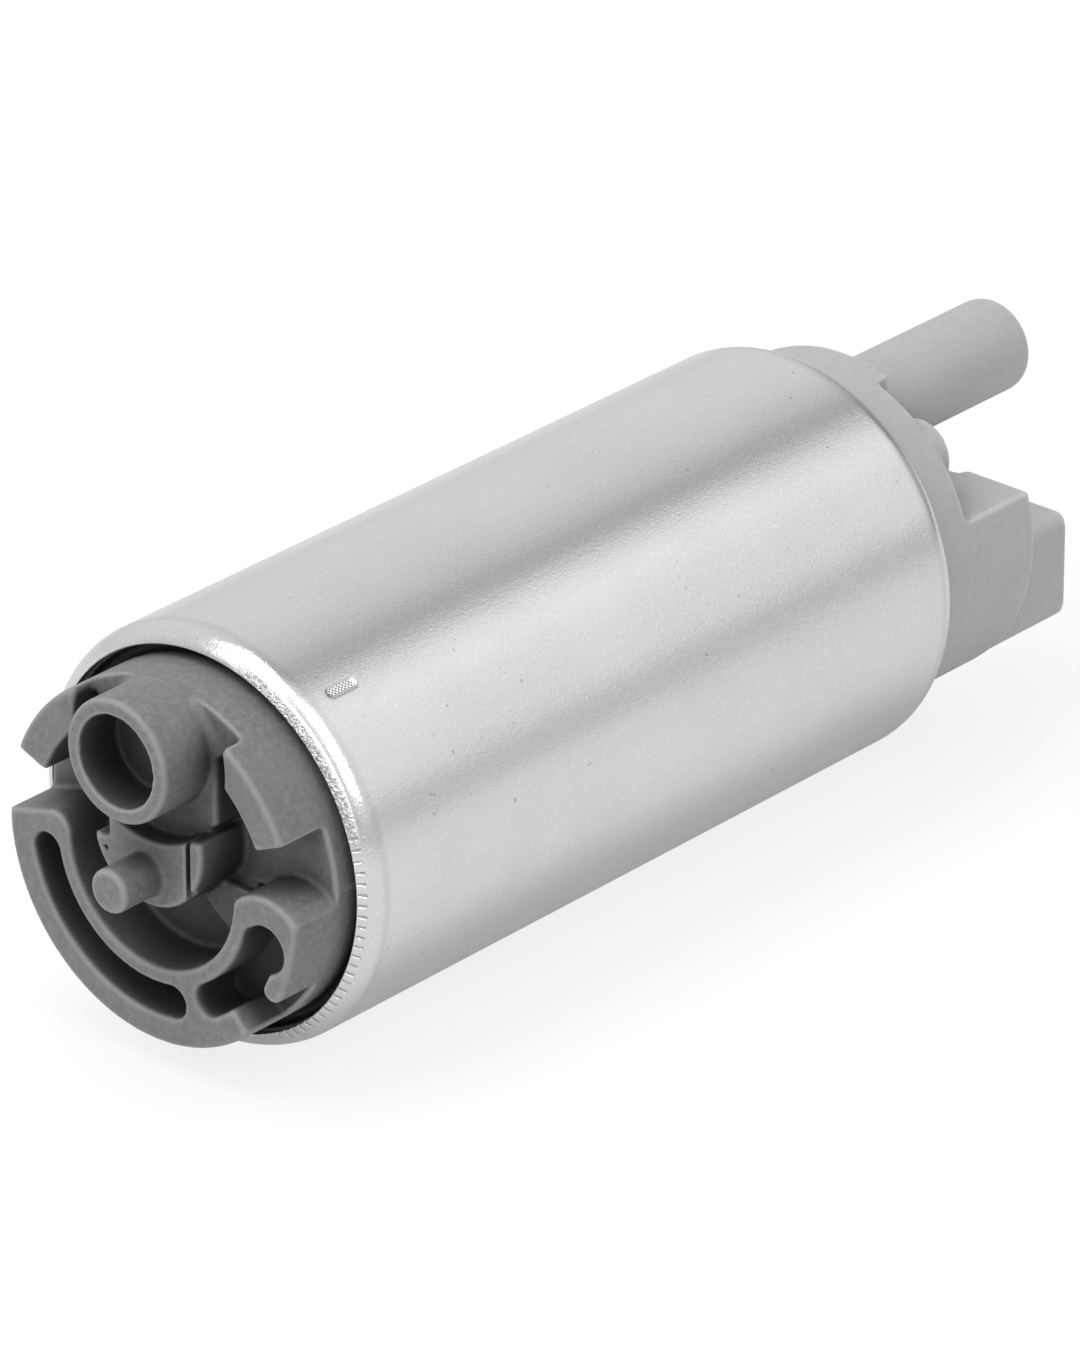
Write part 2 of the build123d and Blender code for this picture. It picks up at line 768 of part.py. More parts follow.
def make_brush_holder():
    """The moulding that holds the upper bearing, guides both brushes and spaces the magnets."""
    holder = tube(seat_radius, seat_radius - holder_ring_wall, magnet_end, cover_flange_start)
    holder += rod(seat_radius, holder_start, holder_end)
    holder += rod(upper_bearing_radius + holder_hub_wall, holder_start, upper_bearing_end)
    for side in (1, -1):
        outside = brush_section(guide_radial + 2 * guide_wall, guide_across + 2 * guide_wall, side)
        holder += prism(outside, holder_start, chamber_roof)
    for side in (1, -1):
        inside = brush_section(guide_radial, guide_across, side)
        holder -= prism(inside, holder_start, chamber_roof)
        turn = 90 - 90 * side
        window = ring_sector(holder_window_inner, holder_window_outer,
                             holder_window_start + turn, holder_window_end + turn)
        holder -= prism(window, holder_start, holder_end)
    holder -= rod(shaft_radius + free_clearance, holder_start, upper_bearing_end)
    holder -= rod(upper_bearing_radius + seat_clearance, upper_bearing_start, upper_bearing_end)
    return holder


def make_brush(side):
    """A carbon brush, with one end on the commutator's face."""
    return prism(brush_section(brush_radial, brush_across, side), brush_start, brush_end)


def make_brush_spring(side):
    """The spring behind a brush."""
    return coil("brush spring", brush_spring_radius, brush_spring_wire, brush_spring_turns,
                brush_end, chamber_roof, side * brush_y, 0)


def terminal_y(side):
    """Where a terminal's blade stands across the pump."""
    return shroud_y + side * terminal_pitch / 2


def choke_y(side):
    """Where a choke stands across the pump, beside its terminal."""
    return terminal_y(side) + choke_side


def lead_points(side):
    """The lead's route: out of the brush through its spring, across the roof and down to the choke."""
    over = chamber_roof + lead_rise
    return [(brush_end, side * brush_y, 0), (over, side * brush_y, 0),
            (over, choke_y(side), choke_z), (choke_end, choke_y(side), choke_z)]


def make_lead(side):
    """A flexible braided lead between a brush and its choke."""
    path = FilletPolyline(*lead_points(side), radius=lead_bend)
    section = Plane(origin=path @ 0, z_dir=(1, 0, 0)) * Circle(lead_radius)
    return sweep(section, path=path)


def make_choke_core(side):
    """The ferrite rod of a choke."""
    return rod(choke_core_radius, choke_start, choke_end, choke_y(side), choke_z)


def make_choke_coil(side):
    """The winding round a choke's rod."""
    return tube(choke_radius, choke_core_radius, choke_start, choke_end, choke_y(side), choke_z)


def make_terminal(side):
    """A blade of the connector, with a foot that carries the choke's lower end."""
    half = terminal_thickness / 2
    near_side = terminal_y(side) - half
    low = shroud_z - terminal_width / 2
    high = shroud_z + terminal_width / 2
    foot_start = choke_start - foot_thickness
    tip = shroud_end - terminal_setback
    blade = prism(block(near_side, terminal_y(side) + half, low, high), foot_start, tip)
    blade = chamfer(blade.edges().group_by(Axis.X)[-1], terminal_point)
    foot = block(near_side, choke_y(side) + choke_core_radius, choke_z - choke_core_radius, high)
    foot = foot & Circle(chamber_radius - free_clearance)
    return blade + prism(foot, foot_start, choke_start)


def cover_outside():
    """The end cover's solid outside: flange, collar, plateau, connector block, shroud and outlet tube."""
    collar = Circle(collar_radius)
    cover = soften(rod(seat_radius, cover_flange_start, cover_flange_end), -1, inner_round)
    cover += soften(rod(collar_radius, cover_flange_end, end_face), -1, collar_round)
    plateau = collar & block(plateau_side, collar_radius, -collar_radius, collar_radius)
    cover += soften(prism(plateau, cover_flange_end, plateau_face), -1, collar_round)
    buttress = collar & block(-collar_radius, block_side, -collar_radius, block_top)
    cover += soften(prism(buttress, cover_flange_end, block_end), -1, collar_round)
    lip = collar & block(-collar_radius, block_lip_side, -collar_radius, block_top)
    cover += soften(prism(lip, cover_flange_end, block_end + block_lip_rise), -1, collar_round)
    base = collar & block(-collar_radius, base_side, -collar_radius, base_top)
    cover += soften(prism(base, cover_flange_end, block_end), -1, collar_round)
    shroud = RectangleRounded(shroud_width, shroud_height, shroud_corner)
    shroud = prism(Pos(shroud_y, shroud_z) * shroud, end_face, shroud_end)
    cover += soften(shroud, -1, collar_round)
    boss = rod(relief_tower_radius, cover_flange_start, relief_end, relief_y, relief_z)
    cover += soften(boss, -1, collar_round)
    outlet = rod(outlet_radius, end_face, outlet_end, 0, outlet_z)
    return cover + soften(outlet, -1, outlet_tip_round)


def straight_slot(start, end, width):
    """A straight slot across the pump with round ends centred on two points."""
    along = Vector(end[0] - start[0], end[1] - start[1])
    middle = Pos((start[0] + end[0]) / 2, (start[1] + end[1]) / 2)
    angle = math.degrees(math.atan2(along.Y, along.X))
    slot = middle * Rot(0, 0, angle) * Rectangle(along.length, width)
    return slot + Pos(*start) * Circle(width / 2) + Pos(*end) * Circle(width / 2)


def cover_wiring():
    """The grooves in the roof for the leads and the holes that the terminals stand in."""
    width = 2 * (lead_radius + lead_groove_clearance)
    groove_end = chamber_roof + lead_rise + width / 2
    half = terminal_thickness / 2 + seat_clearance
    low = shroud_z - terminal_width / 2 - seat_clearance
    high = shroud_z + terminal_width / 2 + seat_clearance
    wiring = Part()
    for side in (1, -1):
        groove = straight_slot((side * brush_y, 0), (choke_y(side), choke_z), width)
        wiring += prism(groove, chamber_roof, groove_end)
        hole = block(terminal_y(side) - half, terminal_y(side) + half, low, high)
        wiring += prism(hole, chamber_roof, socket_floor)
    return wiring


def make_end_cover():
    """The end cover: outlet tube, connector and relief boss outside, chamber and valve bores inside."""
    cover = cover_outside()
    cover -= rod(chamber_radius, cover_flange_start, chamber_roof)
    cover += rod(relief_tower_radius, relief_tower_start, chamber_roof, relief_y, relief_z)
    cover -= rod(relief_seat_radius, relief_tower_start, relief_seat_end, relief_y, relief_z)
    cover -= rod(relief_bore_radius, relief_seat_end, relief_end, relief_y, relief_z)
    chamber_end = chamber_roof + valve_chamber_length
    cover -= rod(valve_chamber_radius, chamber_roof, chamber_end, 0, outlet_z)
    cover -= rod(outlet_bore_radius, chamber_end, outlet_end, 0, outlet_z)
    socket = RectangleRounded(shroud_width - 2 * shroud_wall, shroud_height - 2 * shroud_wall, edge_round)
    cover -= prism(Pos(shroud_y, shroud_z) * socket, socket_floor, shroud_end)
    cover -= cover_wiring()
    half_groove = seal_wire_radius + rest_gap
    seal_x = cover_flange_start + seal_from_face
    floor = seat_radius - 2 * half_groove
    cover -= tube(inner_radius, floor, seal_x - half_groove, seal_x + half_groove)
    return cover


def make_end_seal():
    """The rubber ring that seals the end cover in the shell."""
    ring = Torus(seat_radius - seal_wire_radius, seal_wire_radius)
    return Pos(cover_flange_start + seal_from_face, 0, 0) * Rot(0, 90, 0) * ring


def make_valve_seat():
    """The ring that the check valve closes on."""
    return tube(valve_chamber_radius - seat_clearance, valve_seat_bore, chamber_roof, valve_seat_end,
                0, outlet_z)


def make_valve_seal():
    """The rubber ring on the face of the check valve."""
    return tube(valve_head_radius, valve_spigot_radius, valve_seal_start, valve_head_start, 0, outlet_z)


def make_check_valve():
    """The check valve: a head, a spigot that carries the seal and a stem that runs in the guide."""
    valve = rod(valve_head_radius, valve_head_start, valve_head_end, 0, outlet_z)
    valve = fillet(valve.edges().group_by(Axis.X)[-1], edge_round)
    valve += rod(valve_spigot_radius, valve_seal_start, valve_head_start, 0, outlet_z)
    stem = rod(valve_stem_radius, valve_head_end, valve_head_end + valve_stem_length, 0, outlet_z)
    return valve + soften(stem, -1, edge_round)


def make_valve_guide():
    """The spider in the outlet tube that guides the stem and holds the spring."""
    end = valve_guide_start + valve_guide_thickness
    outer = outlet_bore_radius - seat_clearance
    rim = Circle(outer) - Circle(outer - valve_guide_wall)
    spokes = Circle(valve_guide_bore + valve_guide_wall)
    rib = block(0, outer - valve_guide_wall / 2, -valve_guide_rib / 2, valve_guide_rib / 2)
    for spoke in range(valve_guide_ribs):
        spokes += Rot(0, 0, full_turn * spoke / valve_guide_ribs) * rib
    section = rim + spokes - Circle(valve_guide_bore)
    return prism(Pos(0, outlet_z) * section, valve_guide_start, end)


def make_valve_spring():
    """The spring that closes the check valve."""
    return coil("check valve spring", valve_spring_radius, valve_spring_wire, valve_spring_turns,
                valve_head_end, valve_guide_start, 0, outlet_z)


def make_relief_ball():
    """The relief valve's ball, just off its seat."""
    return Pos(relief_ball_x, relief_y, relief_z) * Sphere(relief_ball_radius)


def make_relief_spring():
    """The spring that holds the relief ball on its seat."""
    inside = relief_spring_radius - relief_spring_wire / 2
    start = relief_ball_x + math.sqrt(relief_ball_radius ** 2 - inside ** 2)
    return coil("relief spring", relief_spring_radius, relief_spring_wire, relief_spring_turns,
                start, relief_plug_start, relief_y, relief_z)


def make_relief_plug():
    """The drilled plug that holds the relief spring in its bore."""
    return tube(relief_bore_radius - seat_clearance, relief_plug_bore, relief_plug_start, relief_plug_end,
                relief_y, relief_z)


pieces = {
    "shell": make_shell(),
    "inlet_cover": make_inlet_cover(),
    "thrust_button": make_thrust_button(),
    "pump_body": make_pump_body(),
    "impeller": make_impeller(),
    "lower_bearing": make_bearing(bearing_radius, bearing_end - bearing_length),
    "upper_bearing": make_bearing(upper_bearing_radius, upper_bearing_start),
    "thrust_washer": make_washer(),
    "rotor_shaft": make_shaft(),
    "rotor_core": make_core(),
    "insulator_front": make_insulator(front_plate, washer_end, front_plate),
    "insulator_back": make_insulator(core_end, back_plate_end, commutator_start),
    "rotor_winding": make_winding(),
    "commutator_hub": make_commutator_hub(),
    "commutator_segments": make_segments(),
    "magnet_a": make_magnet(90),
    "magnet_b": make_magnet(270),
    "magnet_clip_a": make_clip(0),
    "magnet_clip_b": make_clip(180),
    "brush_holder": make_brush_holder(),
    "end_cover": make_end_cover(),
    "end_seal": make_end_seal(),
    "check_valve_seat": make_valve_seat(),
    "check_valve": make_check_valve(),
    "check_valve_seal": make_valve_seal(),
    "check_valve_spring": make_valve_spring(),
    "check_valve_guide": make_valve_guide(),
    "relief_ball": make_relief_ball(),
    "relief_spring": make_relief_spring(),
    "relief_plug": make_relief_plug(),
}
for letter, side in (("a", 1), ("b", -1)):
    pieces["brush_" + letter] = make_brush(side)
    pieces["brush_spring_" + letter] = make_brush_spring(side)
    pieces["brush_lead_" + letter] = make_lead(side)
    pieces["choke_core_" + letter] = make_choke_core(side)
    pieces["choke_coil_" + letter] = make_choke_coil(side)
    pieces["terminal_" + letter] = make_terminal(side)

os.makedirs("parts", exist_ok=True)
for name, piece in pieces.items():
    export_step(piece, "parts/" + name + ".step")
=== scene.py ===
import json
import math

import bpy
from mathutils import Matrix, Vector

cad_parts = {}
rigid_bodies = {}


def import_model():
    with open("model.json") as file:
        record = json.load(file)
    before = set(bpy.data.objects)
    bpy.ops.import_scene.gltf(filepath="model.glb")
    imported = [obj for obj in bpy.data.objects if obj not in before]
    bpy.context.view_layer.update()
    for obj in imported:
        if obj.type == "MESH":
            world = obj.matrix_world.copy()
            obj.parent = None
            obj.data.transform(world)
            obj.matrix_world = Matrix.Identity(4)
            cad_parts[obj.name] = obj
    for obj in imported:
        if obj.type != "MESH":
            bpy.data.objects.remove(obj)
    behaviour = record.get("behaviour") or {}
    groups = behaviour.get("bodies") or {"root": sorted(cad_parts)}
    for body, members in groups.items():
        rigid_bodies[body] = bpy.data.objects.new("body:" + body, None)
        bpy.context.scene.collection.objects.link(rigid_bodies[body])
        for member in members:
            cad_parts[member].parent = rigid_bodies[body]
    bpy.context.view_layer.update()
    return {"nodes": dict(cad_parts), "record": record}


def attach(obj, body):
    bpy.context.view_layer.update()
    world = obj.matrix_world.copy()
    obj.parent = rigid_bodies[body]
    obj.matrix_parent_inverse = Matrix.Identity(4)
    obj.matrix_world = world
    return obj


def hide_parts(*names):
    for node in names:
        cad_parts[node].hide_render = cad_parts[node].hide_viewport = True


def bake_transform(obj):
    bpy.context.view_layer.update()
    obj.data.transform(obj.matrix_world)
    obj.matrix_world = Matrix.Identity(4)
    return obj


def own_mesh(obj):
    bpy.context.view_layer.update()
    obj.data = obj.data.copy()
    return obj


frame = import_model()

# Every length in this file is in metres. The pump lies along X, with its inlet end at the low X.

# The camera stands where the photograph was taken from: in front of the inlet, to its left and above.
CAMERA_TURN = math.radians(-48.731)
CAMERA_LIFT = math.radians(26.106)
CAMERA_PLACE = Vector((-0.56967, -0.50365, 0.37379))
SENSOR_WIDTH_MM = 36.0
LENS_MM = 261.7

# The brightness that comes from all round on anything that isn't a mirror
AMBIENT = 0.8

# What metal mirrors of the room: the walls' brightness at shares of a turn round the pump's axis, how far
# that turn is shifted, and toward each end of the room the X of a direction where the walls start to dim
# and where they have dimmed, with the share of their brightness that is left
WALL_LEVELS = (
    (0.0, 0.98), (0.046, 0.70), (0.068, 0.66), (0.113, 0.74), (0.157, 0.78), (0.246, 0.77),
    (0.30, 0.67), (0.35, 0.42), (0.385, 0.86), (0.42, 1.04), (0.468, 0.93), (0.545, 0.86),
    (0.583, 0.58), (0.615, 0.72), (0.746, 0.70), (0.81, 0.66), (0.90, 0.55), (0.975, 1.0),
)
WALL_SHIFT = 0.1
END_WALLS = ((0.74, 0.92, 0.5), (-0.45, -0.85, 0.7))

# The floor's size, and what it adds for a kind of ray: its share of what the ray sees, and its brightness
FLOOR_SIZE = 6.0
FLOOR_GLOWS = (("Is Glossy Ray", 0.5, 0.5), ("Is Camera Ray", 0.82, 1.0))

# Sizes of the rolled steel shell, as on the bare part
SHELL_RADIUS = 0.019
SHELL_HALF = 0.03875
SHELL_WALL = 0.001
SHOULDER_ROUND = 0.0024
LIP_RADIUS = 0.0174

# The faces of the shell: the steps of a shoulder's outer and inner arc, the degrees by which an arc
# stops short of the lip, the lip's small chamfers, the rings of points round the staked oval, how near
# doubled points are to be merged, and how deep under the shell's radius its outer skin can lie
OUTER_ARC_STEPS = 20
INNER_ARC_STEPS = 8
SHORT_OF_LIP = 2.0
OUTER_CHAMFER = 0.00003
INNER_CHAMFER = 0.00005
RING_PITCH = 0.0002
RINGS_EACH_SIDE = 10
SHELL_MERGE = 0.000004
SKIN_DEPTH = 0.0001

# The staked oval behind the near shoulder, its darker rim, and how its floor and its rows of fine teeth
# fade out from its middle line
STAKE_X = -0.03295
STAKE_HALF = 0.0012
STAKE_TURN = math.radians(124.5)
STAKE_REACH = 0.00045
STAKE_DEPTH = 0.0001
STAKE_RIM = 0.00055
STAKE_RIM_WIDTH = 0.00025
STAKE_FLOOR = (0.00025, 0.00065)
TEETH_FADE = (0.0002, 0.0005)
TOOTH_PITCH_ALONG = 0.0004
TOOTH_PITCH_ROUND = 0.00036

# The nicks of the closing rollers' teeth on one side of both shoulders, the columns of faces that each
# nick has, how far outside the lip and how near the shell's end their row lies, and how squarely a point
# faces their side
ROLLER_NICKS = 112
COLUMNS_PER_NICK = 4
NICK_RADIUS = 0.01818
NICK_DEPTH = 0.00006
NICK_SOFTNESS = 0.00012
NICK_FROM_LIP = 0.00015
NICK_FROM_END = 0.0008
NICKED_TURN = math.radians(200.0)
NICKED_SIDE = 0.75

# The hammered strip on another side of the shoulders, the radii where it is full and where it has faded,
# and the line where the shell starts to bend in, along which a darker line is painted as shade for the
# bend's dimmer reflection
HAMMERED_TURN = math.radians(134.0)
HAMMERED_SIDE = (0.82, 0.93)
HAMMERED_FULL = 0.0181
HAMMERED_GONE = 0.0184
BEND_X = 0.0365
BEND_WIDTH = 0.0007

# The arc slots in the inlet cover's raised ring: the band of radii that they lie in, the heights between
# which they end, and where painted shade starts behind their mouths and is full
SLOT_BAND = (0.0097, 0.016)
SLOT_TOP = (-0.0013, -0.0018)
SLOT_SHADE = (-0.0446, -0.042)
SLOT_SOFTNESS = 0.0002

# How far the walls round a point on a cover can be for shade to be painted on it, and how sharp an edge
# is, as the shader's pointiness, where the painted edge highlight starts and where it is full
CREVICE_REACH = 0.009
HIGHLIT_EDGE = (0.505, 0.54)

# Inside the motor: the core's sheets, the strands of the rotor's winding, the chokes' wire, the plaits
# of the brushes' leads, the lathe's rings on the commutator and the brushes' track on it
SHEET_PITCH = 0.0007
ROTOR_STRANDS = 150.0
CHOKE_WIRE = 0.0006
PLAIT_PITCH = 0.00045
LATHE_PITCH = 0.00014
TRACK_RADIUS = 0.00735

# The copies of the covers: the size of their cells, the place behind which the shell hides the inlet
# cover, and the share of its faces that the inlet's copy keeps
INLET_CELL = 0.00022
OUTLET_CELL = 0.000295
HIDDEN_X = -0.0389
INLET_FACES_KEPT = 0.78

# How near the doubled points of a copied node are to be merged, and the angle below which faces are
# shaded as one
COPY_MERGE = 0.000002
SMOOTH_BELOW = math.radians(35)

# Where a colour mixing node keeps its two colours and its result, among its unnamed sockets
MIX_COLOURS = (6, 7)
MIX_RESULT = 2


def clear_selection():
    """Leave nothing selected, in or out of edit mode."""
    if bpy.context.object and bpy.context.object.mode != "OBJECT":
        bpy.ops.object.mode_set(mode="OBJECT")
    bpy.ops.object.select_all(action="DESELECT")


def pick(piece):
    """Make one piece the active one and the only one selected."""
    clear_selection()
    piece.select_set(True)
    bpy.context.view_layer.objects.active = piece


def finish_with(piece, kind, **settings):
    """Add a modifier with its settings and apply it."""
    pick(piece)
    modifier = piece.modifiers.new(kind.lower(), kind)
    for setting, value in settings.items():
        setattr(modifier, setting, value)
    bpy.ops.object.modifier_apply(modifier=modifier.name)


class Graph:
    """Shorthand for building the nodes of a material or of the room."""

    def __init__(self, tree):
        self.nodes = tree.nodes
        self.links = tree.links

    def link(self, source, target):
        """Lead one node's output into another's input."""
        self.links.new(source, target)

    def feed(self, value, target):
        """Put a number into an input, or lead another node's output into it."""
        if isinstance(value, (int, float)):
            target.default_value = value
        else:
            self.link(value, target)

    def split(self, vector):
        """The X, Y and Z of a vector."""
        node = self.nodes.new("ShaderNodeSeparateXYZ")
        self.link(vector, node.inputs["Vector"])
        return node.outputs["X"], node.outputs["Y"], node.outputs["Z"]

    def combine(self, operation, first, second=0.0):
        """Work out one value from one or two others, each a number or another node's output."""
        node = self.nodes.new("ShaderNodeMath")
        node.operation = operation
        self.feed(first, node.inputs[0])
        self.feed(second, node.inputs[1])
        return node.outputs["Value"]

    def remap(self, value, low, high, to_low=0.0, to_high=1.0, ends="SMOOTHSTEP"):
        """Turn a value's range into another, with soft ends if not told otherwise, and hold it there."""
        node = self.nodes.new("ShaderNodeMapRange")
        node.interpolation_type = ends
        node.inputs["From Min"].default_value = low
        node.inputs["From Max"].default_value = high
        node.inputs["To Min"].default_value = to_low
        node.inputs["To Max"].default_value = to_high
        self.link(value, node.inputs["Value"])
        return node.outputs["Result"]

    def mix(self, amount, first, second):
        """Mix two colours, each three numbers or another node's output, by an amount."""
        node = self.nodes.new("ShaderNodeMix")
        node.data_type = "RGBA"
        self.link(amount, node.inputs[0])
        for slot, colour in zip(MIX_COLOURS, (first, second)):
            if isinstance(colour, tuple):
                node.inputs[slot].default_value = (*colour, 1.0)
            else:
                self.link(colour, node.inputs[slot])
        return node.outputs[MIX_RESULT]


class Finish(Graph):
    """A material under construction, with its surface shader."""

    def __init__(self, name, colour, roughness, metallic=0.0):
        self.material = bpy.data.materials.new(name)
        self.material.use_nodes = True
        super().__init__(self.material.node_tree)
        self.shader = self.nodes["Principled BSDF"]
        self.shader.inputs["Base Color"].default_value = (*colour, 1.0)
        self.shader.inputs["Roughness"].default_value = roughness
        self.shader.inputs["Metallic"].default_value = metallic
        self.material.diffuse_color = (*colour, 1.0)
        self.place = self.nodes.new("ShaderNodeTexCoord").outputs["Object"]

    def axes(self):
        """The X, Y and Z of a point on the piece."""
        return self.split(self.place)

    def noise(self, cells, detail=3.0, roughness=0.5, place=None):
        """Noise with a given number of cells to the metre."""
        node = self.nodes.new("ShaderNodeTexNoise")
        node.inputs["Scale"].default_value = cells
        node.inputs["Detail"].default_value = detail
        node.inputs["Roughness"].default_value = roughness
        self.link(place or self.place, node.inputs["Vector"])
        return node.outputs["Fac"]

    def streaks(self, cells, detail=3.0, roughness=0.5):
        """Noise drawn out into streaks, with a given number of cells to the metre on each axis."""
        mapping = self.nodes.new("ShaderNodeMapping")
        mapping.inputs["Scale"].default_value = cells
        self.link(self.place, mapping.inputs["Vector"])
        return self.noise(1.0, detail, roughness, mapping.outputs["Vector"])

    def paint(self, colour):
        """Colour the surface."""
        self.link(colour, self.shader.inputs["Base Color"])

    def gloss(self, roughness):
        """Make the surface shinier or duller."""
        self.link(roughness, self.shader.inputs["Roughness"])

    def relief(self, height, strength, depth):
        """Raise the surface by a height; several reliefs follow one another."""
        bump = self.nodes.new("ShaderNodeBump")
        bump.inputs["Strength"].default_value = strength
        bump.inputs["Distance"].default_value = depth
        self.link(height, bump.inputs["Height"])
        normal = self.shader.inputs["Normal"]
        if normal.is_linked:
            self.link(normal.links[0].from_socket, bump.inputs["Normal"])
        self.link(bump.outputs["Normal"], normal)


def shade(colour, factor):
    """A colour made lighter or darker."""
    return tuple(min(1.0, channel * factor) for channel in colour)


def distance(finish, value, centre):
    """How far a value is from a centre."""
    return finish.combine("ABSOLUTE", finish.combine("SUBTRACT", value, centre))


def radius_of(finish, first, second):
    """The length of the slanted side over two straight ones."""
    first_square = finish.combine("POWER", first, 2.0)
    second_square = finish.combine("POWER", second, 2.0)
    return finish.combine("SQRT", finish.combine("ADD", first_square, second_square))


def ripples(finish, value, pitch):
    """A wave along a value, with one crest to each pitch."""
    return finish.combine("SINE", finish.combine("MULTIPLY", value, 2 * math.pi / pitch))


def plated_steel():
    """Bright drawn tube: orange-peel skin, faint draw lines, the marks of the tools that closed it,
    painted glints, and a painted dark line where the shoulders bend in.
    """
    colour = (0.78, 0.78, 0.775)
    steel = Finish("plated_steel", colour, 0.2, 1.0)
    x, y, z = steel.axes()
    angle = steel.combine("ARCTAN2", z, y)
    from_middle = steel.combine("ABSOLUTE", x)
    from_axis = radius_of(steel, y, z)
    draw_lines = steel.streaks((40.0, 3000.0, 3000.0), 4.0, 0.6)
    peel = steel.noise(5600.0, 1.0, 0.6)
    dents = steel.noise(1800.0, 1.0)
    cloud = steel.noise(70.0, 3.0)
    # Painted glints: small bright flecks in the colour for the sparkle of the plating's reflection.
    painted_glints = steel.remap(steel.noise(4200.0, 2.0, 0.7), 0.5, 0.68)
    pits = steel.remap(steel.noise(2000.0, 0.0), 0.84, 0.87)
    # Painted shade: a soft darker line where the shoulders start to bend in, for the bend's dimmer
    # reflection.
    bend_shade = steel.remap(distance(steel, from_middle, BEND_X), 0.0, BEND_WIDTH, 0.5, 0.0)
    blows = steel.noise(3400.0, 3.0, 0.7)
    hammered = hammered_strip(steel, (y, z), from_axis)
    worked = steel.combine("MULTIPLY", hammered, steel.remap(blows, 0.42, 0.62))
    nicks = roller_nicks(steel, (y, z), angle, from_axis)
    reach = stake_reach(steel, x, angle)
    outline = steel.remap(distance(steel, reach, STAKE_RIM), 0.0, STAKE_RIM_WIDTH, 0.35, 0.0)
    toned = steel.mix(steel.remap(draw_lines, 0.3, 0.7), shade(colour, 0.985), shade(colour, 1.015))
    toned = steel.mix(steel.remap(cloud, 0.35, 0.65), toned, shade(colour, 0.96))
    toned = steel.mix(painted_glints, toned, shade(colour, 1.08))
    toned = steel.mix(bend_shade, toned, shade(colour, 0.8))
    toned = steel.mix(worked, toned, shade(colour, 0.55))
    toned = steel.mix(steel.combine("MULTIPLY", nicks, 0.5), toned, shade(colour, 0.4))
    toned = steel.mix(outline, toned, shade(colour, 0.45))
    steel.paint(steel.mix(pits, toned, shade(colour, 0.7)))
    steel.gloss(steel.remap(cloud, 0.3, 0.7, 0.13, 0.18))
    steel.relief(peel, 0.6, 0.00003)
    steel.relief(dents, 0.5, 0.00002)
    steel.relief(draw_lines, 0.3, 0.000006)
    steel.relief(steel.combine("MULTIPLY", blows, hammered), 1.0, 0.00026)
    steel.relief(steel.combine("MULTIPLY", nicks, -1.0), 1.0, 0.00008)
    steel.relief(stake_mark(steel, x, angle, reach), 1.0, 0.00008)
    return steel.material


def facing(steel, across, from_axis, turn):
    """How squarely a point on the shell looks to one side, from -1 to 1."""
    y_share = steel.combine("MULTIPLY", across[0], math.cos(turn))
    z_share = steel.combine("MULTIPLY", across[1], math.sin(turn))
    return steel.combine("DIVIDE", steel.combine("ADD", y_share, z_share), from_axis)


def hammered_strip(steel, across, from_axis):
    """Where the hammer closed the shoulders, from 0 outside its strip to 1 in it."""
    strip = steel.remap(from_axis, HAMMERED_GONE, HAMMERED_FULL)
    side = steel.remap(facing(steel, across, from_axis, HAMMERED_TURN), *HAMMERED_SIDE)
    return steel.combine("MULTIPLY", strip, side)


def roller_nicks(steel, across, angle, from_axis):
    """The depth of the short, broken nicks that the closing rollers leave on one side of each lip."""
    nicks = steel.combine("SINE", steel.combine("MULTIPLY", angle, ROLLER_NICKS))
    uneven = steel.noise(1400.0, 1.0)
    nicks = steel.remap(steel.combine("ADD", nicks, uneven), 1.05, 1.45)
    inner = steel.remap(from_axis, LIP_RADIUS, LIP_RADIUS + 0.0002)
    outer = steel.remap(from_axis, NICK_RADIUS + NICK_SOFTNESS, NICK_RADIUS - NICK_SOFTNESS)
    nicks = steel.combine("MULTIPLY", nicks, steel.combine("MULTIPLY", inner, outer))
    squarely = facing(steel, across, from_axis, NICKED_TURN)
    side = steel.remap(squarely, NICKED_SIDE - 0.05, NICKED_SIDE + 0.05)
    return steel.combine("MULTIPLY", nicks, side)


def stake_reach(steel, x, angle):
    """How far a point on the shell is from the middle line of the staked oval."""
    along = steel.combine("SUBTRACT", distance(steel, x, STAKE_X), STAKE_HALF)
    along = steel.combine("MAXIMUM", along, 0.0)
    across = steel.combine("MULTIPLY", steel.combine("SUBTRACT", angle, STAKE_TURN), SHELL_RADIUS)
    return radius_of(steel, along, across)


def stake_mark(steel, x, angle, reach):
    """The height of the staked oval: a shallow floor with rows of fine teeth inside a soft rim."""
    floor = steel.remap(reach, *STAKE_FLOOR)
    across = steel.combine("MULTIPLY", angle, SHELL_RADIUS)
    rows = ripples(steel, x, TOOTH_PITCH_ALONG)
    teeth = steel.combine("MULTIPLY", rows, ripples(steel, across, TOOTH_PITCH_ROUND))
    teeth = steel.combine("MULTIPLY", teeth, steel.remap(reach, *TEETH_FADE, 0.5, 0.0))
    return steel.combine("ADD", floor, teeth)


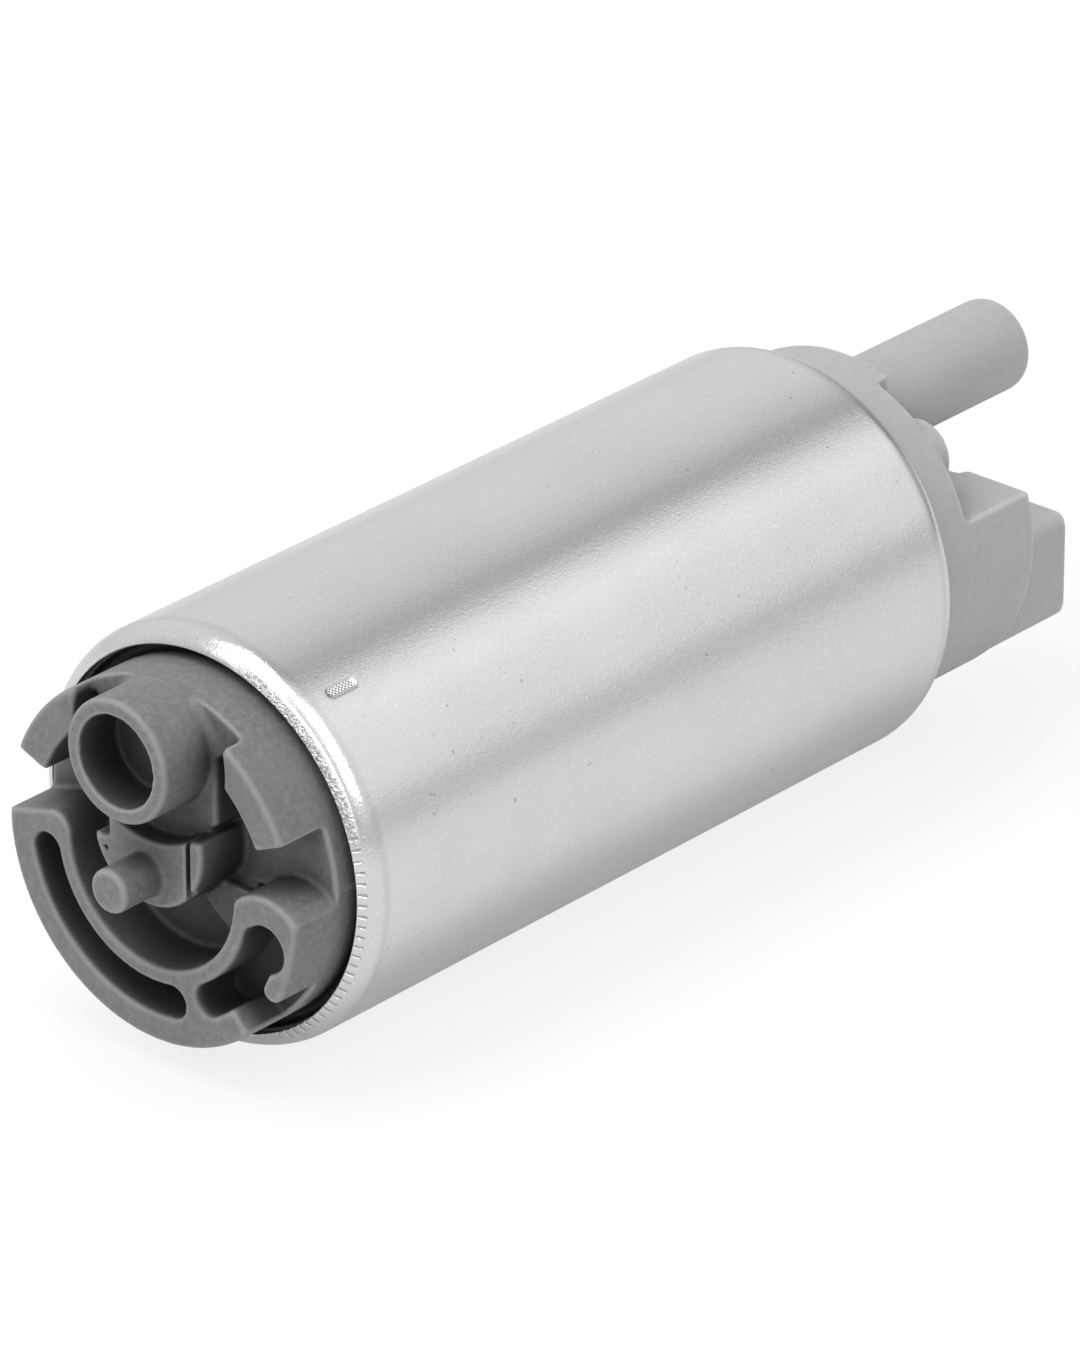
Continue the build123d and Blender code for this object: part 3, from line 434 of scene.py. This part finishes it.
def moulded(name, colour, roughness=0.62, speck=0.12, edge_highlight=1.3, crevice_shade=None, slot_shade_colour=None):
    """Filled plastic: a fine matte grain, faint clouds, painted highlights on sharp edges, and painted
    shade in corners and slots.
    """
    plastic = Finish(name, colour, roughness)
    grain = plastic.noise(5200.0, 3.0)
    glass = plastic.noise(1700.0, 4.0, 0.7)
    cloud = plastic.noise(160.0, 3.0)
    specks = plastic.remap(glass, 0.3, 0.72)
    base = plastic.mix(specks, shade(colour, 1.0 - speck), shade(colour, 1.0 + speck))
    base = plastic.mix(plastic.remap(cloud, 0.35, 0.7, 0.0, 0.35), base, shade(colour, 1.1))
    # Painted highlight: sharp edges, found by pointiness, are made paler as if they caught the light.
    edge = plastic.nodes.new("ShaderNodeNewGeometry").outputs["Pointiness"]
    rubbed_and_highlit = plastic.remap(edge, *HIGHLIT_EDGE, 0.0, 0.8)
    toned = plastic.mix(rubbed_and_highlit, base, shade(colour, edge_highlight))
    # Painted shade: corners and crevices are darkened by how closed in they are.
    if crevice_shade:
        toned = plastic.mix(crevices(plastic), toned, shade(colour, crevice_shade))
    # Painted shade: the arc slots are darkened deep behind their mouths.
    if slot_shade_colour:
        toned = plastic.mix(slot_depth(plastic), toned, slot_shade_colour)
    plastic.paint(toned)
    plastic.gloss(plastic.remap(grain, 0.3, 0.7, roughness - 0.08, roughness + 0.1))
    plastic.relief(grain, 0.35, 0.00004)
    plastic.relief(glass, 0.25, 0.00006)
    return plastic.material


def crevices(plastic):
    """How closed in a point is by the walls round it, from 0 in the open to 1 in a corner, for painted
    shade.
    """
    openness = plastic.nodes.new("ShaderNodeAmbientOcclusion")
    openness.samples = 8
    openness.only_local = True
    openness.inputs["Distance"].default_value = CREVICE_REACH
    return plastic.remap(openness.outputs["AO"], 0.25, 0.92, 1.0, 0.0)


def slot_depth(plastic):
    """How deep a point lies in the ring's arc slots, from 0 at their mouths to 1 where the painted shade
    is full.
    """
    x, y, z = plastic.axes()
    radius = radius_of(plastic, y, z)
    inner, outer = SLOT_BAND
    inside = plastic.remap(radius, inner, inner + SLOT_SOFTNESS)
    outside = plastic.remap(radius, outer, outer - SLOT_SOFTNESS)
    below = plastic.remap(z, *SLOT_TOP)
    deep = plastic.remap(x, *SLOT_SHADE)
    band = plastic.combine("MULTIPLY", plastic.combine("MULTIPLY", inside, outside), below)
    return plastic.combine("MULTIPLY", band, deep)


def ground_steel(name, colour, roughness=0.2):
    """Ground steel: fine rings across the shaft, with a dull, faintly tinted film here and there."""
    steel = Finish(name, colour, roughness, 1.0)
    rings = steel.streaks((16000.0, 400.0, 400.0), 4.0, 0.7)
    film = steel.noise(420.0, 3.0)
    toned = steel.mix(steel.remap(rings, 0.3, 0.7), shade(colour, 0.93), shade(colour, 1.05))
    steel.paint(steel.mix(steel.remap(film, 0.5, 0.75, 0.0, 0.5), toned, (0.55, 0.52, 0.48)))
    steel.gloss(steel.remap(film, 0.3, 0.7, roughness - 0.05, roughness + 0.1))
    steel.relief(rings, 0.5, 0.00001)
    return steel.material


def spring_wire():
    """Drawn wire: die lines along the pump, darker heat-treated patches and a soft sheen."""
    colour = (0.47, 0.47, 0.48)
    wire = Finish("spring_steel", colour, 0.32, 1.0)
    lines = wire.streaks((300.0, 9000.0, 9000.0))
    heat = wire.noise(900.0, 3.0)
    toned = wire.mix(wire.remap(lines, 0.3, 0.7), shade(colour, 0.85), shade(colour, 1.12))
    wire.paint(wire.mix(wire.remap(heat, 0.45, 0.7, 0.0, 0.6), toned, (0.3, 0.28, 0.27)))
    wire.gloss(wire.remap(heat, 0.3, 0.7, 0.26, 0.42))
    wire.relief(lines, 0.4, 0.00001)
    return wire.material


def sintered(name, colour, metallic, pore, cells):
    """Pressed and fired powder: a close grain with small dark pores."""
    powder = Finish(name, colour, 0.5, metallic)
    grain = powder.noise(cells, 4.0, 0.7)
    pores = powder.remap(powder.noise(cells * 0.6, 1.0), 0.62, 0.7)
    rubbed_and_highlit = powder.noise(300.0, 2.0)
    toned = powder.mix(powder.remap(grain, 0.3, 0.7), shade(colour, 0.8), shade(colour, 1.25))
    toned = powder.mix(powder.remap(rubbed_and_highlit, 0.4, 0.7, 0.0, 0.3), toned, shade(colour, 1.4))
    powder.paint(powder.mix(pores, toned, shade(colour, pore)))
    powder.gloss(powder.remap(grain, 0.3, 0.7, 0.42, 0.66))
    powder.relief(powder.combine("SUBTRACT", grain, pores), 0.5, 0.00004)
    return powder.material


def tinned_strip():
    """Tinned brass strip: rolling streaks along the pump, and brass showing through in spots."""
    colour = (0.72, 0.69, 0.6)
    strip = Finish("terminal_brass", colour, 0.3, 1.0)
    streaks = strip.streaks((250.0, 5000.0, 5000.0), 4.0, 0.6)
    thin = strip.noise(700.0, 3.0)
    toned = strip.mix(strip.remap(streaks, 0.3, 0.7), shade(colour, 0.88), shade(colour, 1.1))
    strip.paint(strip.mix(strip.remap(thin, 0.55, 0.72, 0.0, 0.8), toned, (0.66, 0.47, 0.2)))
    strip.gloss(strip.remap(streaks, 0.3, 0.7, 0.24, 0.38))
    strip.relief(streaks, 0.4, 0.000015)
    return strip.material


def laminated_core():
    """Stacked steel sheets: a fine dark line between sheets, and patches of varnish over them."""
    colour = (0.34, 0.34, 0.35)
    core = Finish("core_steel", colour, 0.4, 1.0)
    x = core.axes()[0]
    sheets = core.remap(ripples(core, x, SHEET_PITCH), -1.0, -0.3)
    varnish = core.noise(500.0, 3.0)
    toned = core.mix(core.remap(varnish, 0.35, 0.7), colour, (0.26, 0.2, 0.15))
    core.paint(core.mix(sheets, (0.07, 0.06, 0.055), toned))
    core.gloss(core.remap(varnish, 0.3, 0.7, 0.34, 0.52))
    core.relief(sheets, 0.6, 0.00005)
    return core.material


def enamelled_wire(name, strands, wandering):
    """Enamelled copper: lengthwise strands round the rotor, or turns of wire if no strands are given."""
    colour = (0.56, 0.24, 0.11)
    wire = Finish(name, colour, 0.28, 0.85)
    wire.shader.inputs["Coat Weight"].default_value = 0.6
    wire.shader.inputs["Coat Roughness"].default_value = 0.15
    x, y, z = wire.axes()
    wander = wire.combine("MULTIPLY", wire.noise(180.0, 2.0), wandering)
    if strands:
        along = wire.combine("MULTIPLY", wire.combine("ARCTAN2", z, y), strands)
    else:
        along = wire.combine("MULTIPLY", x, 2 * math.pi / CHOKE_WIRE)
    round_wires = wire.combine("SINE", wire.combine("ADD", along, wander))
    tone = wire.noise(900.0, 2.0)
    toned = wire.mix(wire.remap(tone, 0.35, 0.65), shade(colour, 0.8), shade(colour, 1.2))
    wire.paint(wire.mix(wire.remap(round_wires, -1.0, -0.2), shade(colour, 0.2), toned))
    wire.gloss(wire.remap(tone, 0.3, 0.7, 0.22, 0.36))
    wire.relief(round_wires, 0.8, 0.00012)
    return wire.material


def braided_copper():
    """A flexible lead of plaited fine wires, a little tarnished."""
    colour = (0.62, 0.33, 0.2)
    braid = Finish("braided_copper", colour, 0.36, 1.0)
    x, _, z = braid.axes()
    one_way = ripples(braid, braid.combine("ADD", x, z), PLAIT_PITCH)
    other_way = ripples(braid, braid.combine("SUBTRACT", x, z), PLAIT_PITCH)
    plait = braid.combine("MULTIPLY", one_way, other_way)
    tarnish = braid.noise(1100.0, 3.0)
    toned = braid.mix(braid.remap(tarnish, 0.4, 0.7), colour, (0.36, 0.2, 0.13))
    braid.paint(braid.mix(braid.remap(plait, -0.8, 0.3), shade(colour, 0.35), toned))
    braid.gloss(braid.remap(tarnish, 0.3, 0.7, 0.3, 0.46))
    braid.relief(plait, 0.7, 0.00008)
    return braid.material


def turned_copper():
    """Commutator copper: rings from the lathe, and a dark polished track where the brushes run."""
    colour = (0.68, 0.37, 0.22)
    copper = Finish("copper", colour, 0.26, 1.0)
    _, y, z = copper.axes()
    radius = radius_of(copper, y, z)
    rings = ripples(copper, radius, LATHE_PITCH)
    cloud = copper.noise(1300.0, 3.0)
    track = copper.remap(distance(copper, radius, TRACK_RADIUS), 0.0017, 0.0023, 0.75, 0.0)
    toned = copper.mix(copper.remap(rings, -1.0, 1.0), shade(colour, 0.88), shade(colour, 1.08))
    toned = copper.mix(copper.remap(cloud, 0.4, 0.7, 0.0, 0.4), toned, shade(colour, 0.7))
    copper.paint(copper.mix(track, toned, (0.2, 0.12, 0.09)))
    copper.gloss(copper.remap(cloud, 0.3, 0.7, 0.2, 0.34))
    copper.relief(rings, 0.4, 0.000012)
    return copper.material


def pressed_carbon():
    """Brush carbon: dull black, with bright copper grains and lines from the press."""
    colour = (0.045, 0.045, 0.047)
    carbon = Finish("carbon", colour, 0.48)
    lines = carbon.streaks((500.0, 7000.0, 7000.0))
    grains = carbon.remap(carbon.noise(5200.0, 1.0), 0.66, 0.72)
    toned = carbon.mix(carbon.remap(lines, 0.3, 0.7), shade(colour, 0.75), shade(colour, 1.5))
    carbon.paint(carbon.mix(grains, toned, (0.4, 0.23, 0.14)))
    carbon.gloss(carbon.remap(lines, 0.3, 0.7, 0.4, 0.58))
    carbon.relief(lines, 0.5, 0.00002)
    return carbon.material


def fuel_rubber():
    """Soft black rubber with a faint grey bloom."""
    colour = (0.028, 0.028, 0.028)
    rubber = Finish("seal_rubber", colour, 0.55)
    skin = rubber.noise(4200.0, 3.0)
    bloom = rubber.noise(600.0, 3.0)
    rubber.paint(rubber.mix(rubber.remap(bloom, 0.45, 0.75, 0.0, 0.6), colour, (0.07, 0.07, 0.072)))
    rubber.gloss(rubber.remap(bloom, 0.3, 0.7, 0.46, 0.68))
    rubber.relief(skin, 0.3, 0.00003)
    return rubber.material


def soft_room():
    """A pale room with lighter and darker bands that only metal shows; the camera sees it plain white."""
    world = bpy.data.worlds.new("white_room")
    bpy.context.scene.world = world
    world.use_nodes = True
    room = Graph(world.node_tree)
    x, y, z = room.split(room.nodes.new("ShaderNodeTexCoord").outputs["Generated"])
    turn = room.combine("MULTIPLY", room.combine("ARCTAN2", z, y), 0.5 / math.pi)
    turn = room.combine("FRACT", room.combine("ADD", turn, WALL_SHIFT))
    walls = wall_bands(room, turn)
    for start, end, level in END_WALLS:
        dimming = room.nodes.new("ShaderNodeVectorMath")
        dimming.operation = "SCALE"
        room.link(walls, dimming.inputs[0])
        room.link(room.remap(x, start, end, 1.0, level, "LINEAR"), dimming.inputs["Scale"])
        walls = dimming.outputs["Vector"]
    rays = room.nodes.new("ShaderNodeLightPath")
    seen = room.mix(rays.outputs["Is Glossy Ray"], (AMBIENT, AMBIENT, AMBIENT), walls)
    seen = room.mix(rays.outputs["Is Camera Ray"], seen, (1.0, 1.0, 1.0))
    room.link(seen, room.nodes["Background"].inputs["Color"])


def wall_bands(room, turn):
    """The brightness of the room's walls at each share of a turn round the pump's axis."""
    node = room.nodes.new("ShaderNodeValToRGB")
    bands = node.color_ramp.elements
    while len(bands) < len(WALL_LEVELS):
        bands.new(0.5)
    for band, (position, level) in zip(bands, WALL_LEVELS):
        band.position = position
        band.color = (level, level, level, 1.0)
    room.link(turn, node.inputs["Fac"])
    return node.outputs["Color"]


def softbox(name, place, size, watts, lights_plastic=True):
    """A rectangular lamp at a place, turned to the pump; one kind is there for metal to mirror alone."""
    lamp = bpy.data.lights.new(name, "AREA")
    lamp.shape = "RECTANGLE"
    lamp.size, lamp.size_y = size
    lamp.energy = watts
    holder = bpy.data.objects.new(name, lamp)
    bpy.context.scene.collection.objects.link(holder)
    holder.location = place
    holder.rotation_euler = Vector(place).to_track_quat("Z", "Y").to_euler()
    holder.visible_diffuse = lights_plastic


def set_camera():
    """The camera at the photograph's place, with its long lens."""
    lens = bpy.data.cameras.new("camera")
    lens.sensor_width = SENSOR_WIDTH_MM
    lens.lens = LENS_MM
    lens.clip_start = 0.01
    lens.clip_end = 20.0
    camera = bpy.data.objects.new("camera", lens)
    bpy.context.scene.collection.objects.link(camera)
    turn, lift = CAMERA_TURN, CAMERA_LIFT
    back = Vector((math.sin(turn) * math.cos(lift), -math.cos(turn) * math.cos(lift), math.sin(lift)))
    right = Vector((math.cos(turn), math.sin(turn), 0.0))
    up = back.cross(right)
    camera_axes = Matrix((right, up, back)).transposed().to_4x4()
    camera.matrix_world = Matrix.Translation(CAMERA_PLACE) @ camera_axes
    bpy.context.scene.camera = camera


def pale_floor():
    """The floor under the pump: white to the camera but for the soft shadow, and pale grey in metal."""
    clear_selection()
    bpy.ops.mesh.primitive_plane_add(size=FLOOR_SIZE, location=(0.0, 0.0, -SHELL_RADIUS))
    floor = bpy.context.object
    floor.name = "floor"
    pick(floor)
    bpy.ops.object.transform_apply(location=True, rotation=True, scale=True)
    paper = Finish("pale_floor", (0.86, 0.86, 0.86), 0.9)
    rays = paper.nodes.new("ShaderNodeLightPath")
    surface = paper.shader.outputs["BSDF"]
    for ray, share, level in FLOOR_GLOWS:
        glow = paper.nodes.new("ShaderNodeEmission")
        glow.inputs["Color"].default_value = (level, level, level, 1.0)
        blend = paper.nodes.new("ShaderNodeMixShader")
        paper.link(paper.combine("MULTIPLY", rays.outputs[ray], share), blend.inputs[0])
        paper.link(surface, blend.inputs[1])
        paper.link(glow.outputs["Emission"], blend.inputs[2])
        surface = blend.outputs["Shader"]
    paper.link(surface, paper.nodes["Material Output"].inputs["Surface"])
    floor.data.materials.append(paper.material)


def arc_points(centre_x, centre_r, radius, start, end, steps):
    """Points on an arc of the shell's profile, as (x, r), from one angle in degrees to another."""
    points = []
    for step in range(steps + 1):
        angle = math.radians(start + (end - start) * step / steps)
        points.append((centre_x + radius * math.cos(angle), centre_r + radius * math.sin(angle)))
    return points


def shell_profile():
    """The shell's outline in one half-plane: one shoulder, the inside, the other shoulder, the outside."""
    shoulder_x = SHELL_HALF - SHOULDER_ROUND
    shoulder_r = SHELL_RADIUS - SHOULDER_ROUND
    reach = LIP_RADIUS - shoulder_r
    inner_round = SHOULDER_ROUND - SHELL_WALL
    outer_end = math.degrees(math.asin(reach / SHOULDER_ROUND)) + SHORT_OF_LIP
    inner_end = math.degrees(math.asin(reach / inner_round)) + SHORT_OF_LIP
    outside = arc_points(shoulder_x, shoulder_r, SHOULDER_ROUND, 90.0, outer_end, OUTER_ARC_STEPS)
    inside = arc_points(shoulder_x, shoulder_r, inner_round, inner_end, 90.0, INNER_ARC_STEPS)
    lip = [(outside[-1][0] - OUTER_CHAMFER, LIP_RADIUS), (inside[0][0] + INNER_CHAMFER, LIP_RADIUS)]
    right = outside + lip + inside
    left = [(-x, r) for x, r in reversed(right)]
    rings = range(-RINGS_EACH_SIDE, RINGS_EACH_SIDE + 1)
    staked = [(STAKE_X + RING_PITCH * ring, SHELL_RADIUS) for ring in rings]
    return right + left + staked


def make_shell():
    """The drawn shell, turned from its profile, with the marks of the tools pressed in."""
    profile = shell_profile()
    clear_selection()
    bpy.ops.mesh.primitive_plane_add(size=0.001)
    shell = bpy.context.object
    shell.name = "shell_tube"
    bpy.ops.object.mode_set(mode="EDIT")
    bpy.ops.mesh.select_all(action="SELECT")
    bpy.ops.mesh.merge(type="CENTER")
    x, r = profile[0]
    bpy.ops.transform.translate(value=(x, 0.0, r))
    for (x, r), (next_x, next_r) in zip(profile, profile[1:] + profile[:1]):
        step = (next_x - x, 0.0, next_r - r)
        bpy.ops.mesh.extrude_region_move(TRANSFORM_OT_translate={"value": step})
    bpy.ops.mesh.select_all(action="SELECT")
    columns = ROLLER_NICKS * COLUMNS_PER_NICK
    bpy.ops.mesh.spin(steps=columns, angle=2 * math.pi, center=(0, 0, 0), axis=(1, 0, 0))
    bpy.ops.mesh.select_all(action="SELECT")
    bpy.ops.mesh.remove_doubles(threshold=SHELL_MERGE)
    bpy.ops.mesh.normals_make_consistent(inside=False)
    bpy.ops.object.mode_set(mode="OBJECT")
    press_in(shell, on_stake, STAKE_DEPTH)
    press_in(shell, on_nick, NICK_DEPTH)
    pick(shell)
    bpy.ops.object.shade_smooth_by_angle(angle=SMOOTH_BELOW)
    return shell


def press_in(piece, touched, depth):
    """Push a piece's skin in along its normals at the points that a tool touched."""
    pick(piece)
    bpy.ops.object.mode_set(mode="EDIT")
    bpy.ops.mesh.select_mode(type="VERT")
    bpy.ops.mesh.select_all(action="DESELECT")
    bpy.ops.object.mode_set(mode="OBJECT")
    for vertex in piece.data.vertices:
        vertex.select = touched(vertex.co)
    bpy.ops.object.mode_set(mode="EDIT")
    bpy.ops.transform.shrink_fatten(value=-depth)
    bpy.ops.mesh.select_all(action="DESELECT")
    bpy.ops.object.mode_set(mode="OBJECT")


def on_stake(place):
    """Whether a point on the shell is under the staking punch."""
    along = max(0.0, abs(place.x - STAKE_X) - STAKE_HALF)
    across = (math.atan2(place.z, place.y) - STAKE_TURN) * SHELL_RADIUS
    outside = math.hypot(place.y, place.z) > SHELL_RADIUS - SKIN_DEPTH
    return outside and math.hypot(along, across) < STAKE_REACH


def on_nick(place):
    """Whether a point on a shoulder is under one of the closing rollers' teeth."""
    angle = math.atan2(place.z, place.y)
    column = round(angle * ROLLER_NICKS * COLUMNS_PER_NICK / (2 * math.pi))
    from_axis = math.hypot(place.y, place.z)
    on_shoulder = abs(place.x) > SHELL_HALF - NICK_FROM_END
    in_row = LIP_RADIUS + NICK_FROM_LIP < from_axis < NICK_RADIUS
    on_side = math.cos(angle - NICKED_TURN) > NICKED_SIDE
    return on_shoulder and in_row and on_side and column % COLUMNS_PER_NICK == 1


def copy_of(node, name):
    """A copy of a CAD node's shape with its doubled points merged."""
    piece = bpy.data.objects.new(name, frame["nodes"][node].data.copy())
    bpy.context.scene.collection.objects.link(piece)
    pick(piece)
    bpy.ops.object.mode_set(mode="EDIT")
    bpy.ops.mesh.select_all(action="SELECT")
    bpy.ops.mesh.remove_doubles(threshold=COPY_MERGE)
    bpy.ops.object.mode_set(mode="OBJECT")
    return piece


def moulding_from(node, name, cell):
    """A copy of a moulded node with its edges softened, as they come out of a mould."""
    piece = copy_of(node, name)
    finish_with(piece, "REMESH", mode="VOXEL", voxel_size=cell, adaptivity=0.0)
    finish_with(piece, "SMOOTH", factor=0.5, iterations=3)
    pick(piece)
    bpy.ops.object.shade_smooth()
    return piece


def thin_hidden(piece, hidden_x, kept_share):
    """Leave a share of a piece's faces, by taking them only from the part that the shell hides."""
    hidden = [vertex.index for vertex in piece.data.vertices if vertex.co.x > hidden_x]
    group = piece.vertex_groups.new(name="hidden")
    group.add(hidden, 1.0, "REPLACE")
    finish_with(piece, "DECIMATE", ratio=kept_share, vertex_group=group.name)


def smoothed_copy(node, name):
    """A copy of a wire node that is shaded smooth along its wire, with the node's own finish."""
    piece = copy_of(node, name)
    bpy.ops.mesh.customdata_custom_splitnormals_clear()
    bpy.ops.object.shade_smooth_by_angle(angle=SMOOTH_BELOW)
    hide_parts(node)
    return piece


def follow_joint(joint):
    """Smooth-shaded copies of the springs and leads that a joint moves: a spring's copy rides with the
    joint's parent, and a lead's copy stays in place.
    """
    for wire in joint.get("deforming_nodes", []):
        node = wire["node"]
        if wire["mode"] == "scale_x":
            piece = smoothed_copy(node, node + "_turns")
            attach(piece, joint["parent"])
            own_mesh(piece)
        else:
            piece = smoothed_copy(node, node + "_braid")
            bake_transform(piece)


def dress(piece, material):
    """Give a piece one material in place of any that it has."""
    piece.data.materials.clear()
    piece.data.materials.append(material)


set_camera()
soft_room()
pale_floor()
softbox("overhead", (-0.25, 0.12, 0.96), (0.6, 0.6), 4.0)
softbox("side_strip", (-0.15, -0.67, 0.73), (0.6, 0.8), 3.2, lights_plastic=False)
softbox("top_strip", (-0.6, 0.2, 0.75), (0.5, 0.95), 3.2)

# Every moulded finish paints a highlight on sharp edges; the covers also get painted shade in their
# corners, and the inlet cover in its arc slots.
finishes = {
    "plated_steel": plated_steel(),
    "dark_cover": moulded("dark_cover", (0.158, 0.158, 0.162), speck=0.2, edge_highlight=1.65,
                          crevice_shade=0.12, slot_shade_colour=(0.03, 0.03, 0.031)),
    "light_cover": moulded("light_cover", (0.37, 0.37, 0.37), 0.6, speck=0.06, crevice_shade=0.6),
    "casing_plastic": moulded("casing_plastic", (0.09, 0.09, 0.092), 0.55),
    "impeller_plastic": moulded("impeller_plastic", (0.16, 0.1, 0.06), 0.48, speck=0.3),
    "holder_plastic": moulded("holder_plastic", (0.72, 0.7, 0.64), 0.5, speck=0.03, edge_highlight=1.05),
    "insulating_plastic": moulded("insulating_plastic", (0.06, 0.22, 0.11), 0.42, speck=0.06),
    "commutator_resin": moulded("commutator_resin", (0.06, 0.04, 0.03), 0.45, speck=0.25),
    "shaft_steel": ground_steel("shaft_steel", (0.64, 0.64, 0.64)),
    "spring_steel": spring_wire(),
    "sintered_bronze": sintered("sintered_bronze", (0.52, 0.33, 0.17), 1.0, pore=0.15, cells=3600.0),
    "terminal_brass": tinned_strip(),
    "copper": turned_copper(),
    "core_steel": laminated_core(),
    "magnet_ferrite": sintered("magnet_ferrite", (0.1, 0.1, 0.105), 0.0, pore=0.3, cells=2200.0),
    "choke_ferrite": sintered("choke_ferrite", (0.13, 0.12, 0.12), 0.0, pore=0.4, cells=3000.0),
    "carbon": pressed_carbon(),
    "seal_rubber": fuel_rubber(),
}

# The wound and braided nodes share the slot of plain copper but have looks of their own.
winding_wire = enamelled_wire("winding_wire", ROTOR_STRANDS, 2.5)
choke_wire = enamelled_wire("choke_wire", 0.0, 0.4)
lead_braid = braided_copper()
special = {
    "rotor_winding": winding_wire,
    "choke_coil_a": choke_wire,
    "choke_coil_b": choke_wire,
    "brush_lead_a": lead_braid,
    "brush_lead_b": lead_braid,
}
slot_of = {entry["node"]: entry["material_slot"] for entry in frame["record"]["subparts"]}
for node, slot in slot_of.items():
    dress(frame["nodes"][node], special.get(node, finishes[slot]))

for joint in frame["record"]["behaviour"]["joints"]:
    follow_joint(joint)

shell = make_shell()
dress(shell, finishes["plated_steel"])
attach(shell, "pump")
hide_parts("shell")

inlet = moulding_from("inlet_cover", "inlet_moulding", INLET_CELL)
thin_hidden(inlet, HIDDEN_X, INLET_FACES_KEPT)
dress(inlet, finishes["dark_cover"])
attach(inlet, "pump")
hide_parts("inlet_cover")

outlet = moulding_from("end_cover", "outlet_moulding", OUTLET_CELL)
dress(outlet, finishes["light_cover"])
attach(outlet, "pump")
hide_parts("end_cover")

bpy.context.scene.view_settings.view_transform = "Standard"
